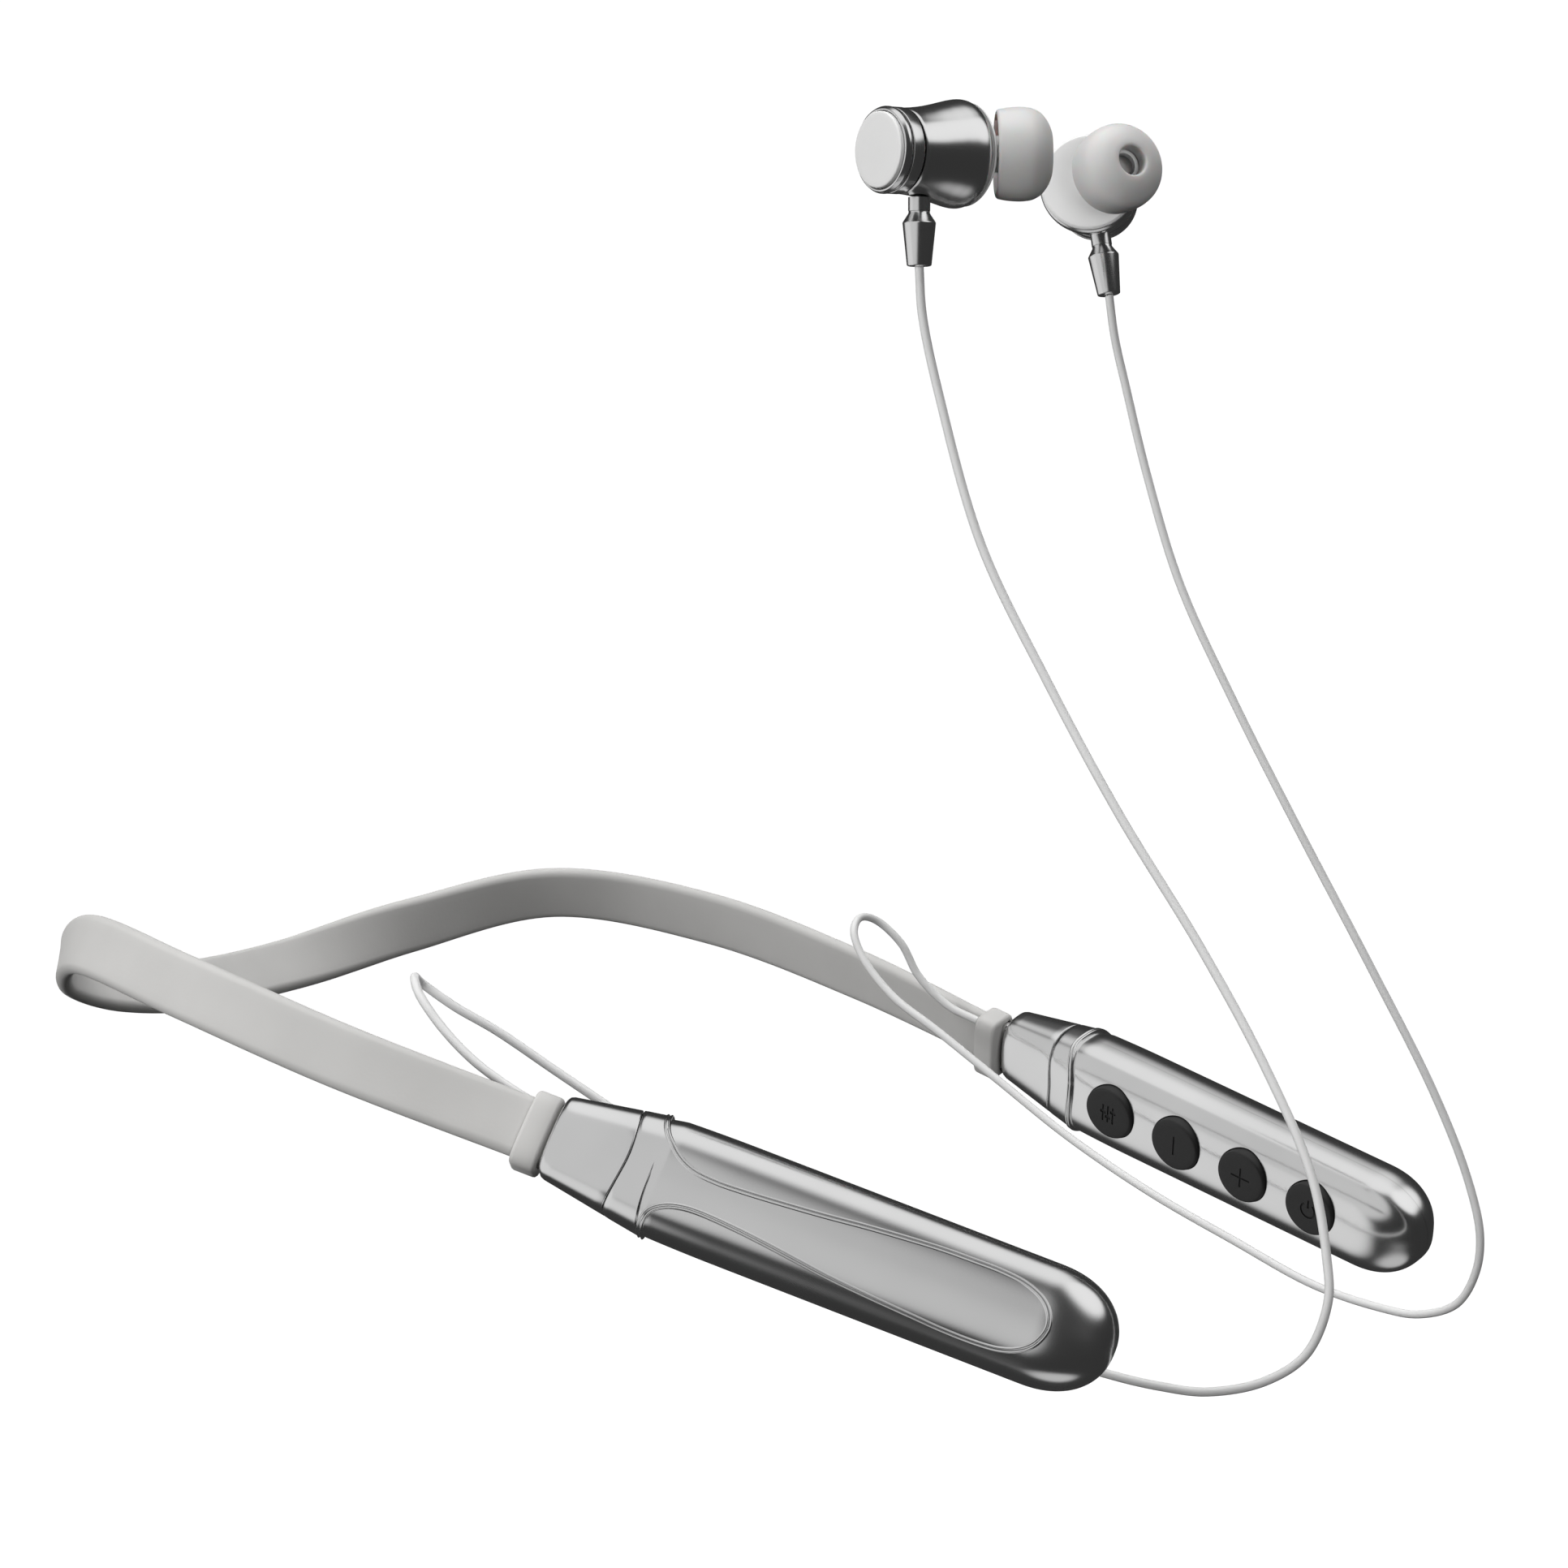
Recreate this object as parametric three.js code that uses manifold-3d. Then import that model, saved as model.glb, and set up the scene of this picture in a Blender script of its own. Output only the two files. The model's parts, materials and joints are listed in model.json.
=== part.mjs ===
// Neckband earphones: a soft flat neckband joins two slim metal-look pods, and an earbud hangs on a
// thin cable from each pod. Millimetres. +X is the wearer's front, +Y the wearer's left, +Z up.
// The origin is on the inner face of the band, at the nape of the neck.

import * as THREE from "three";
import { mergeVertices } from "three/addons/utils/BufferGeometryUtils.js";
import Module from "manifold-3d";

const wasm = await Module();
wasm.setup();

// ---- Driving dimensions -------------------------------------------------------------------

const GAP = 0.3; // left between two pieces that touch

// Band
const BAND_REACH = 93.2; // nape to the rear of a collar, along X
const BAND_HALF_SPAN = 83.9; // centre to the widest point, along Y
const BAND_WIDTH = 8.3;
const BAND_THICKNESS = 2.25;
const BAND_STEP = 4; // length between two sections
const FLEX_GAP = 1.2; // free slot at each corner, where the band bends
const SPRING_WIRE_RADIUS = 0.4;
const WIRE_CLEARANCE = 0.3;

// Pod
const POD_YAW = 11.7; // degrees, nose towards the wearer's middle
const POD_PITCH = 19.5; // degrees, nose down
const POD_ROLL = 23.35; // degrees, top leans inwards
const POD_LENGTH = 75.9;
const POD_WALL = 1.1;
const NOSE_LENGTH = 10;
const NOSE_POWER = 2.2;
const NOSE_TIP_SHARE = 0.99; // how far along the nose its last section lies
const SECTION_POWER = 2.8; // roundness of the pod's superellipse section
const TAIL_LENGTH = 9.2;
const TAIL_HALF = { height: 5.4, thickness: 3.7 };
const SEAM_HALF = { height: 6.9, thickness: 5.3 };
const BODY_HALF = { height: 7.85, thickness: 6.3 };
const BODY_START = 15.4;
const BEAD_WIDTH = 1.8; // length of the double bead ring in front of the neck band
const BEAD_PROUD = 0.35;
const BAND_INSET = 1.3; // band's offset towards the wearer inside the pod
const BAND_SEAT = 4.5; // how deep the band sits in the tail cap

// Collar
const COLLAR_LENGTH = 3.7;
const COLLAR_GAP = 0.7; // dark slot between collar and tail cap
const COLLAR_HALF_HEIGHT = 5.2;
const COLLAR_OUTER_WALL = 0.9;
const COLLAR_INNER_WALL = 2.4; // thicker, because the cable leaves through it
const COLLAR_CORNER = 1.2;

// Tongue trim on the outer face of each pod
const TONGUE_START = BODY_START + GAP;
const TONGUE_END = 67.5;
const TONGUE_CENTRE = -1.6; // below the pod's axis
const TONGUE_ROOT_HALF = 2.3;
const TONGUE_TIP_HALF = 4.6;
const TONGUE_DEPTH = 0.55;
const TONGUE_PROUD = 0.1;

// Buttons, on the inner face of the left pod
const BUTTON_NAMES = ["button_mode", "button_volume_down", "button_volume_up", "button_power"];
const BUTTON_RADIUS = 4.15;
const BUTTON_CLEARANCE = 0.2;
const BUTTON_FIRST = 22.8; // along the pod
const BUTTON_PITCH = 12.15;
const BUTTON_RISE = 1.2; // above the pod's axis
const BUTTON_PROUD = 0.5;
const BUTTON_CAP_THICKNESS = 2.4;
const BUTTON_TRAVEL = 0.35;
const PLUNGER_RADIUS = 1.1;

// Circuit board and what is on it
const BOARD_THICKNESS = 0.8;
const BOARD_FACE = 1.6; // board's button side, from the pod's mid plane
const BOARD_HALF_HEIGHT = 5;
const BOARD_START = 18;
const BOARD_LENGTH = 46;
const SWITCH_SIDE = 3.6;
const SWITCH_HEIGHT = 1;
const MICROPHONE_SIZE = [3.4, 1, 2.4];

// Charging socket, in the underside of the left pod
const SOCKET_CENTRE = 58.5;
const SOCKET_WIDTH = 8.9;
const SOCKET_HEIGHT = 3.2;
const SOCKET_DEPTH = 5.6;
const SOCKET_WALL = 0.35;
const SOCKET_TONGUE = [6.6, 0.7];
const SOCKET_SETBACK = 0.8; // mouth behind the pod's underside

// Battery and motor
const BATTERY_RADIUS = 4.6;
const BATTERY_LENGTH = 38;
const BATTERY_START = 19;
const MOTOR_RADIUS = 2;
const MOTOR_LENGTH = 7;
const MOTOR_GAP = 1;
const MOTOR_OFFSET = 2.3; // towards the outer face in the left pod

// Earbud, in its own frame: +X points into the ear, +Z up, origin at the bulb's centre
const BULB_RADIUS = 7.15;
const BULB_WALL = 0.9;
const WAIST_RADIUS = 5.6;
const WAIST_AT = 9; // behind the bulb's widest circle
const BULB_RISE = [[0, 0], [0.16, 0.07], [0.38, 0.25], [0.6, 0.52], [0.76, 0.75], [0.9, 0.93]];
const SHOULDER_LENGTH = 1; // in front of the widest circle
const SHOULDER_DROP = 0.3;
const BARREL_RADIUS = 5.65;
const BARREL_LENGTH = 1.7;
const BARREL_WALL = 0.8;
const BEVEL_RADIUS = 5.7;
const BEVEL_WIDTH = 1;
const END_CAP_RADIUS = 5;
const END_CAP_THICKNESS = 1.4;
const END_CAP_PROUD = 0.5;
const TIP_BEND = 34; // degrees between barrel and nozzle
const PLATE_THICKNESS = 0.6;
const PLATE_EDGE = 0.3;
const NOZZLE_RADIUS = 2.4;
const NOZZLE_BORE = 1.7;
const NOZZLE_REACH = 4.8; // beyond the tip's rear rim
const MESH_THICKNESS = 0.4;
const MESH_SETBACK = 0.4;
const DRIVER_RADIUS = 4.6;
const DRIVER_LENGTH = 3;
const MAGNET_RADIUS = 3.2;
const MAGNET_LENGTH = 1.6;
const TIP_RADIUS = 6.2;
const TIP_REAR_RADIUS = 5.8;
const TIP_MOUTH_RADIUS = 2.1;
const TIP_CLEARANCE = 0.1; // between the tip's rear plane and the plate's edge
const TIP_LENGTH = 7.4;
const TIP_SKIN = 0.7;
const TIP_CORE_WALL = 0.7;
const TIP_CORE_SETBACK = 0.6; // core's rear end, in front of the skirt's rim
const STEM_AT = 5.95; // behind the bulb's centre
const STEM_RADIUS = 1.45;
const STEM_END = 7.7; // below the barrel's axis
const FERRULE_TOP_RADIUS = 2.2;
const FERRULE_BEVEL = 1.2;
const FERRULE_END_RADIUS = 1.6;
const FERRULE_LENGTH = 6.6;

const EARBUDS = {
  right: { at: [132, -29.8, 114.2], heading: 60, tilt: 0, roll: 0 },
  left: { at: [128.54, 29.28, 114.32], heading: -75, tilt: 8, roll: 9 },
};

// Cables, from the collar's rear face back along the band, forward past the pod and up to the ear
const CABLE_DIAMETER = 1.2;
const CABLE_SIDES = 8;
const CABLE_STEP = 3.8;
const CABLE_EXIT_INSET = 2.1; // cable centre, inwards of the band's centre
const CABLE_EXIT_RISE = 3.9; // and above it
const CABLE_ROUTES = {
  right: [
    [88.5, -74.5, -6], [83.5, -74, -3], [78.5, -73, 1], [74.5, -71.5, 5], [72.5, -69, 7],
    [72, -66, 6], [76, -64.5, 3], [81.5, -63.5, 0], [89.5, -62.5, -5], [100.5, -62, -11.5],
    [113.5, -61, -19.5], [130.5, -58, -29.5], [147, -55, -37], [161.5, -52.5, -41.5],
    [168.5, -51, -43], [174.5, -50, -43.5], [181.5, -48.5, -42], [186.5, -47, -38.5],
    [189, -46, -32], [188.5, -45, -26.5], [186, -43.5, -16.5], [179.5, -42, -3.5],
    [170, -40, 11.5], [158, -38, 28.5], [147.5, -36.5, 45.5], [138, -35.5, 63],
    [132, -35, 82], [129.5, -35, 93],
  ],
  left: [
    [88.5, 75, -6], [84, 74, -1.5], [81.5, 73, 3.5], [78, 71.5, 7], [76.5, 69, 7.5],
    [76.5, 66.5, 5.5], [78.5, 65.5, 1.5], [83.5, 65, -4], [91, 64.5, -9], [101, 64, -16],
    [113, 62.5, -24], [127, 60, -31.5], [140.5, 57.5, -37.5], [153.5, 55, -43],
    [164, 53, -45.5], [170.5, 51.5, -46], [176.5, 50, -44], [179.5, 49, -39.5],
    [180.5, 48, -34], [179, 47, -26], [174.5, 45, -13.5], [166, 42.5, 4], [156, 40, 23.5],
    [147, 38, 41.5], [139.5, 36.5, 58], [135, 35.5, 73], [132, 34.5, 86], [130.5, 34, 93],
  ],
};

// ---- Materials ----------------------------------------------------------------------------

function material(color, roughness, metalness) {
  return new THREE.MeshStandardMaterial({ color, roughness, metalness });
}

const SILICONE = material(0xc4c4c2, 0.6, 0);
const CHROME = material(0xd2d2d2, 0.16, 1);
const BLACK_RUBBER = material(0x1c1c1c, 0.6, 0);
const CABLE_SHEATH = material(0xcfcfcd, 0.5, 0);
const PALE_PLASTIC = material(0xbdbdbb, 0.5, 0);
const STEEL = material(0x9a9a9a, 0.35, 1);
const BOARD_GREEN = material(0x1f5a36, 0.5, 0);
const CELL_SILVER = material(0xb8bcc2, 0.4, 0.6);
const DARK_PLASTIC = material(0x2a2a2c, 0.5, 0);

// ---- Solids: closed meshes joined and cut ---------------------------------------------------

const FAR = 400; // longer than the whole object, for half-space cuts

function solid(geometry) {
  const bare = geometry.clone();
  bare.deleteAttribute("normal");
  bare.deleteAttribute("uv");
  const merged = mergeVertices(bare, 1e-4);
  return new wasm.Manifold(
    new wasm.Mesh({
      numProp: 3,
      vertProperties: new Float32Array(merged.attributes.position.array),
      triVerts: new Uint32Array(merged.index.array),
    }),
  );
}

function geometryOf(body) {
  const mesh = body.getMesh();
  const geometry = new THREE.BufferGeometry();
  geometry.setAttribute("position", new THREE.BufferAttribute(mesh.vertProperties, 3));
  geometry.setIndex(new THREE.BufferAttribute(mesh.triVerts, 1));
  geometry.computeVertexNormals();
  return geometry;
}

function box(size, at) {
  return new THREE.BoxGeometry(...size).translate(...at);
}

// Revolved about the local X axis from [x, radius] points that start and end on the axis or close.
function turned(points, segments = 28) {
  const profile = points.map(([x, radius]) => new THREE.Vector2(radius, x));
  return new THREE.LatheGeometry(profile, segments).rotateZ(-Math.PI / 2);
}

// A solid round bar along X.
function bar(x0, x1, radius, segments = 20) {
  return turned([[x0, 0], [x0, radius], [x1, radius], [x1, 0]], segments);
}

// A closed skin through rings of points, each a list of Vector3 with the same count.
function skin(rings) {
  const count = rings[0].length;
  const positions = rings.flat().flatMap((point) => point.toArray());
  const index = [];
  for (let ring = 0; ring + 1 < rings.length; ring += 1) {
    for (let i = 0; i < count; i += 1) {
      const a = ring * count + i;
      const b = ring * count + ((i + 1) % count);
      index.push(a, b, a + count, b, b + count, a + count);
    }
  }
  const last = (rings.length - 1) * count;
  for (let i = 1; i + 1 < count; i += 1) {
    index.push(0, i + 1, i, last, last + i, last + i + 1);
  }
  const geometry = new THREE.BufferGeometry();
  geometry.setAttribute("position", new THREE.Float32BufferAttribute(positions, 3));
  geometry.setIndex(index);
  return geometry;
}

// ---- Pod sections --------------------------------------------------------------------------

const SECTION_SIDES = 32;
const NOSE_START = POD_LENGTH - NOSE_LENGTH;
const NOSE_STEPS = 6;

function mix(a, b, share) {
  return {
    height: THREE.MathUtils.lerp(a.height, b.height, share),
    thickness: THREE.MathUtils.lerp(a.thickness, b.thickness, share),
  };
}

// Half sizes of the pod's outer section at x, made smaller by inset all over.
function podHalf(x, inset) {
  let half = BODY_HALF;
  if (x < TAIL_LENGTH) {
    half = mix(TAIL_HALF, SEAM_HALF, x / TAIL_LENGTH);
  } else if (x < BODY_START) {
    half = mix(SEAM_HALF, BODY_HALF, (x - TAIL_LENGTH) / (BODY_START - TAIL_LENGTH));
  }
  let round = 1;
  if (x > NOSE_START) {
    const share = (x - NOSE_START) / (NOSE_LENGTH - inset);
    round = (1 - share ** NOSE_POWER) ** (1 / NOSE_POWER);
  }
  return { height: (half.height - inset) * round, thickness: (half.thickness - inset) * round };
}

function podRing(x, inset) {
  const half = podHalf(x, inset);
  const ring = [];
  for (let i = 0; i < SECTION_SIDES; i += 1) {
    const angle = (i / SECTION_SIDES) * Math.PI * 2;
    const across = Math.cos(angle);
    const up = Math.sin(angle);
    ring.push(
      new THREE.Vector3(
        x,
        Math.sign(across) * half.thickness * Math.abs(across) ** (2 / SECTION_POWER),
        Math.sign(up) * half.height * Math.abs(up) ** (2 / SECTION_POWER),
      ),
    );
  }
  return ring;
}

// The pod's form between two places along it, made smaller by inset.
function podForm(x0, x1, inset) {
  const stops = [x0, x1];
  for (const stop of [TAIL_LENGTH, BODY_START, NOSE_START]) {
    if (stop > x0 && stop < x1) {
      stops.push(stop);
    }
  }
  if (x1 > NOSE_START) {
    for (let step = 1; step < NOSE_STEPS; step += 1) {
      const quarter = (step / NOSE_STEPS) * (Math.PI / 2);
      stops.push(NOSE_START + Math.sin(quarter) * (NOSE_LENGTH - inset) * NOSE_TIP_SHARE);
    }
  }
  const last = POD_LENGTH - inset - (NOSE_LENGTH - inset) * (1 - NOSE_TIP_SHARE);
  const places = stops.map((x) => Math.min(x, last));
  const ordered = [...new Set(places)].sort((a, b) => a - b);
  return solid(skin(ordered.map((x) => podRing(x, inset))));
}

function podTube(x0, x1) {
  return podForm(x0, x1, 0).subtract(podForm(x0 - 1, x1 + 1, POD_WALL));
}

// ---- Pod pieces, in the pod's frame: +X to the nose, +Y outwards, +Z up ----------------------

function tailCap() {
  const shell = podForm(0, TAIL_LENGTH, 0).subtract(podForm(POD_WALL, TAIL_LENGTH + 1, POD_WALL));
  const slot = box(
    [BAND_SEAT * 2, BAND_THICKNESS + GAP * 2, BAND_WIDTH + GAP * 2],
    [0, -BAND_INSET, 0],
  );
  return geometryOf(shell.subtract(solid(slot)));
}

function neckBand() {
  return geometryOf(podTube(TAIL_LENGTH + GAP, BODY_START - BEAD_WIDTH - GAP));
}

// Two round beads side by side around the pod.
function beadRing() {
  const start = BODY_START - BEAD_WIDTH;
  const end = BODY_START - GAP;
  const proud = [0, 1, 0, 1, 0];
  const rings = proud.map((share, i) => {
    const x = THREE.MathUtils.lerp(start, end, i / (proud.length - 1));
    return podRing(x, -BEAD_PROUD * share);
  });
  return geometryOf(solid(skin(rings)).subtract(podForm(start - 1, end + 1, POD_WALL)));
}

// The tongue's outline as a prism through the outer face, made wider by grow.
function tonguePrism(grow) {
  const root = TONGUE_ROOT_HALF + grow;
  const tip = TONGUE_TIP_HALF + grow;
  const roundAt = TONGUE_END - TONGUE_TIP_HALF;
  const shape = new THREE.Shape();
  shape.moveTo(TONGUE_START - grow, TONGUE_CENTRE - root);
  shape.lineTo(roundAt, TONGUE_CENTRE - tip);
  shape.absarc(roundAt, TONGUE_CENTRE, tip, -Math.PI / 2, Math.PI / 2, false);
  shape.lineTo(TONGUE_START - grow, TONGUE_CENTRE + root);
  const depth = BODY_HALF.thickness * 2;
  const prism = new THREE.ExtrudeGeometry(shape, {
    depth,
    bevelEnabled: false,
    curveSegments: 10,
  });
  return solid(prism.rotateX(Math.PI / 2).translate(0, depth, 0));
}

function tongueTrim() {
  const layer = podForm(TAIL_LENGTH, POD_LENGTH, -TONGUE_PROUD).subtract(
    podForm(TAIL_LENGTH - 1, POD_LENGTH, TONGUE_DEPTH),
  );
  return geometryOf(layer.intersect(tonguePrism(0)));
}

// One half of the main body; side is 1 for the outer half and -1 for the inner half.
function bodyHalf(side) {
  const shell = podForm(BODY_START, POD_LENGTH, 0).subtract(
    podForm(BODY_START - 1, POD_LENGTH, POD_WALL),
  );
  const half = box([FAR, FAR, FAR], [0, side * (FAR / 2 + GAP / 2), 0]);
  return shell.intersect(solid(half));
}

function outerShell() {
  const recess = tonguePrism(GAP).subtract(
    podForm(TAIL_LENGTH, POD_LENGTH, TONGUE_DEPTH + GAP),
  );
  return bodyHalf(1).subtract(recess);
}

function buttonPlace(order) {
  return [BUTTON_FIRST + order * BUTTON_PITCH, 0, BUTTON_RISE];
}

function socketMouth() {
  return solid(
    box(
      [SOCKET_WIDTH + GAP * 2, SOCKET_HEIGHT + GAP * 2, POD_WALL * 4],
      [SOCKET_CENTRE, 0, -BODY_HALF.height],
    ),
  );
}

function buttonShell() {
  let shell = bodyHalf(-1).subtract(socketMouth());
  BUTTON_NAMES.forEach((name, order) => {
    const hole = bar(0, FAR, BUTTON_RADIUS + BUTTON_CLEARANCE, 36);
    shell = shell.subtract(solid(hole.rotateZ(-Math.PI / 2).translate(...buttonPlace(order))));
  });
  return geometryOf(shell);
}

// A button and its plunger along X, outer face towards +X.
function buttonCap() {
  const face = BODY_HALF.thickness + BUTTON_PROUD;
  const plungerEnd = BOARD_FACE + GAP + SWITCH_HEIGHT + BUTTON_TRAVEL + GAP;
  const edge = 0.4;
  return turned([
    [plungerEnd, 0],
    [plungerEnd, PLUNGER_RADIUS],
    [face - BUTTON_CAP_THICKNESS, PLUNGER_RADIUS],
    [face - BUTTON_CAP_THICKNESS, BUTTON_RADIUS],
    [face - edge, BUTTON_RADIUS],
    [face, BUTTON_RADIUS - edge],
    [face, 0],
  ], 36);
}

function circuitBoard() {
  const end = BOARD_START + BOARD_LENGTH;
  const notch = SOCKET_CENTRE - SOCKET_WIDTH / 2 - GAP;
  const notchTop = -BODY_HALF.height + SOCKET_SETBACK + SOCKET_DEPTH + GAP;
  const shape = new THREE.Shape();
  shape.moveTo(BOARD_START, -BOARD_HALF_HEIGHT);
  shape.lineTo(notch, -BOARD_HALF_HEIGHT);
  shape.lineTo(notch, notchTop);
  shape.lineTo(end, notchTop);
  shape.lineTo(end, BOARD_HALF_HEIGHT);
  shape.lineTo(BOARD_START, BOARD_HALF_HEIGHT);
  const board = new THREE.ExtrudeGeometry(shape, { depth: BOARD_THICKNESS, bevelEnabled: false });
  return board.rotateX(Math.PI / 2).translate(0, -BOARD_FACE + BOARD_THICKNESS, 0);
}

function chargingSocket() {
  const top = -BODY_HALF.height + SOCKET_SETBACK + SOCKET_DEPTH;
  const centre = top - SOCKET_DEPTH / 2;
  const inner = SOCKET_WALL * 2;
  const outer = box([SOCKET_WIDTH, SOCKET_HEIGHT, SOCKET_DEPTH], [SOCKET_CENTRE, 0, centre]);
  const hollow = box(
    [SOCKET_WIDTH - inner, SOCKET_HEIGHT - inner, SOCKET_DEPTH],
    [SOCKET_CENTRE, 0, centre - inner],
  );
  const tongue = box(
    [SOCKET_TONGUE[0], SOCKET_TONGUE[1], SOCKET_DEPTH - inner],
    [SOCKET_CENTRE, 0, centre + SOCKET_WALL],
  );
  return geometryOf(solid(outer).subtract(solid(hollow)).add(solid(tongue)));
}

function collar() {
  const inner = -BAND_INSET - BAND_THICKNESS / 2 - COLLAR_INNER_WALL;
  const outer = -BAND_INSET + BAND_THICKNESS / 2 + COLLAR_OUTER_WALL;
  const top = COLLAR_HALF_HEIGHT;
  const round = COLLAR_CORNER;
  const shape = new THREE.Shape();
  shape.absarc(outer - round, top - round, round, 0, Math.PI / 2, false);
  shape.absarc(inner + round, top - round, round, Math.PI / 2, Math.PI, false);
  shape.absarc(inner + round, -top + round, round, Math.PI, Math.PI * 1.5, false);
  shape.absarc(outer - round, -top + round, round, Math.PI * 1.5, Math.PI * 2, false);
  const block = new THREE.ExtrudeGeometry(shape, {
    depth: COLLAR_LENGTH,
    bevelEnabled: false,
    curveSegments: 5,
  });
  // The section lies in the local X-Y plane, so it is turned to face along the pod.
  block.rotateX(Math.PI / 2).rotateZ(Math.PI / 2).translate(-COLLAR_GAP - COLLAR_LENGTH, 0, 0);
  const slot = box(
    [COLLAR_LENGTH * 4, BAND_THICKNESS + GAP * 2, BAND_WIDTH + GAP * 2],
    [0, -BAND_INSET, 0],
  );
  return geometryOf(solid(block).subtract(solid(slot)));
}

// ---- Band ------------------------------------------------------------------------------------

const podEuler = new THREE.Euler(
  THREE.MathUtils.degToRad(POD_ROLL),
  THREE.MathUtils.degToRad(POD_PITCH),
  THREE.MathUtils.degToRad(-POD_YAW),
  "ZYX",
);

// Shares of the band's reach and half span, and the height, of points along its left half.
const BAND_SHAPE = [
  [0.018, 0.31, 1, [-0.61, -0.22, 0.745]],
  [0.1, 0.6, 5.7, [-0.25, -0.49, 0.83]],
  [0.261, 0.84, 10.1, [0, -0.5, 0.868]],
  [0.488, 0.978, 5.9, [-0.02, -0.29, 0.953]],
  [0.746, 1, -2.2, [0.16, -0.3, 0.94]],
];
const NAPE_UP = [-0.61, 0, 0.79];
const CORNER_ORDER = 2; // the entry of BAND_SHAPE at which the band bends
const COLLAR_REAR = -COLLAR_GAP - COLLAR_LENGTH;
const BAND_END = new THREE.Vector3(BAND_REACH, 78.9, -10.8);

// The left pod's frame puts the band's end at the rear of the collar.
const podMatrix = new THREE.Matrix4().makeRotationFromEuler(podEuler);
const seatOffset = new THREE.Vector3(COLLAR_REAR, -BAND_INSET, 0).applyMatrix4(podMatrix);
podMatrix.setPosition(BAND_END.clone().sub(seatOffset));
const podPosition = new THREE.Vector3().setFromMatrixPosition(podMatrix);

function inPod(x, y, z) {
  return new THREE.Vector3(x, y, z).applyMatrix4(podMatrix);
}

function bandCurves() {
  const nape = new THREE.Vector3(NAPE_UP[2], 0, -NAPE_UP[0]).multiplyScalar(-BAND_THICKNESS / 2);
  const podUp = new THREE.Vector3(0, 0, 1).transformDirection(podMatrix);
  const half = BAND_SHAPE.map(([reach, span, height, up]) => ({
    at: new THREE.Vector3(reach * BAND_REACH, span * BAND_HALF_SPAN, height),
    up: new THREE.Vector3(...up),
  }));
  for (const x of [COLLAR_REAR, BAND_SEAT - GAP]) {
    half.push({ at: inPod(x, -BAND_INSET, 0), up: podUp.clone() });
  }
  const mirror = new THREE.Vector3(1, -1, 1);
  const other = half.map(({ at, up }) => ({
    at: at.clone().multiply(mirror),
    up: up.clone().multiply(mirror),
  }));
  const all = [...other.reverse(), { at: nape, up: new THREE.Vector3(...NAPE_UP) }, ...half];
  return {
    centre: new THREE.CatmullRomCurve3(all.map(({ at }) => at)),
    up: new THREE.CatmullRomCurve3(all.map(({ up }) => up), false, "catmullrom", 0.5),
    cornerAt: (all.length - 1) / 2 + 1 + CORNER_ORDER,
    steps: all.length - 1,
  };
}

const band = bandCurves();
band.centre.arcLengthDivisions = 600;
const bandLength = band.centre.getLength();

// Where the band's curve passes its corner, as a length from the right end.
function cornerLength() {
  const lengths = band.centre.getLengths();
  const at = (band.cornerAt / band.steps) * (lengths.length - 1);
  return lengths[Math.round(at)];
}

// The band's frame at a length: its centre, along, up (its width) and out (through it).
function bandFrame(length) {
  const share = THREE.MathUtils.clamp(length / bandLength, 0, 1);
  const centre = band.centre.getPointAt(share);
  const along = band.centre.getTangentAt(share);
  const up = band.up.getPoint(band.centre.getUtoTmapping(share));
  up.addScaledVector(along, -up.dot(along)).normalize();
  const out = new THREE.Vector3().crossVectors(up, along).normalize();
  return { centre, along, up, out };
}

// A band-like skin from one length to another; outline gives [out, up] offsets round the section.
function bandSweep(from, to, outline, overrun = 0) {
  const count = Math.max(2, Math.ceil((to - from) / BAND_STEP));
  const rings = [];
  for (let step = 0; step <= count; step += 1) {
    const frame = bandFrame(THREE.MathUtils.lerp(from, to, step / count));
    const past = step === 0 ? -overrun : step === count ? overrun : 0;
    const centre = frame.centre.clone().addScaledVector(frame.along, past);
    rings.push(
      outline.map(([out, up]) =>
        centre.clone().addScaledVector(frame.out, out).addScaledVector(frame.up, up),
      ),
    );
  }
  return solid(skin(rings));
}

function bandOutline() {
  const radius = BAND_THICKNESS / 2;
  const straight = BAND_WIDTH / 2 - radius;
  const arcSteps = 4;
  const outline = [];
  for (const end of [1, -1]) {
    for (let i = 0; i <= arcSteps; i += 1) {
      const angle = (i / arcSteps) * Math.PI;
      outline.push([
        end * Math.cos(angle) * radius,
        end * (straight + Math.sin(angle) * radius),
      ]);
    }
  }
  return outline;
}

function roundOutline(radius) {
  const sides = 8;
  return Array.from({ length: sides }, (_, i) => {
    const angle = (i / sides) * Math.PI * 2;
    return [Math.cos(angle) * radius, Math.sin(angle) * radius];
  });
}

function bandPiece(from, to) {
  const channel = bandSweep(from, to, roundOutline(SPRING_WIRE_RADIUS + WIRE_CLEARANCE), 1);
  return geometryOf(bandSweep(from, to, bandOutline()).subtract(channel));
}

function springWire(from, to) {
  return geometryOf(bandSweep(from + GAP, to - GAP, roundOutline(SPRING_WIRE_RADIUS)));
}

// ---- Earbud pieces, in the earbud's frame ------------------------------------------------------

// The bulb from its waist to the front edge, as points along and out from its axis.
function bulbOutline(inset) {
  const rise = BULB_RISE.map(([along, out]) => [
    (along - 1) * WAIST_AT,
    THREE.MathUtils.lerp(WAIST_RADIUS, BULB_RADIUS, out) - inset,
  ]);
  return [
    ...rise,
    [0, BULB_RADIUS - inset],
    [SHOULDER_LENGTH / 2, BULB_RADIUS - SHOULDER_DROP / 3 - inset],
    [SHOULDER_LENGTH, BULB_RADIUS - SHOULDER_DROP - inset],
  ];
}

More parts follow.
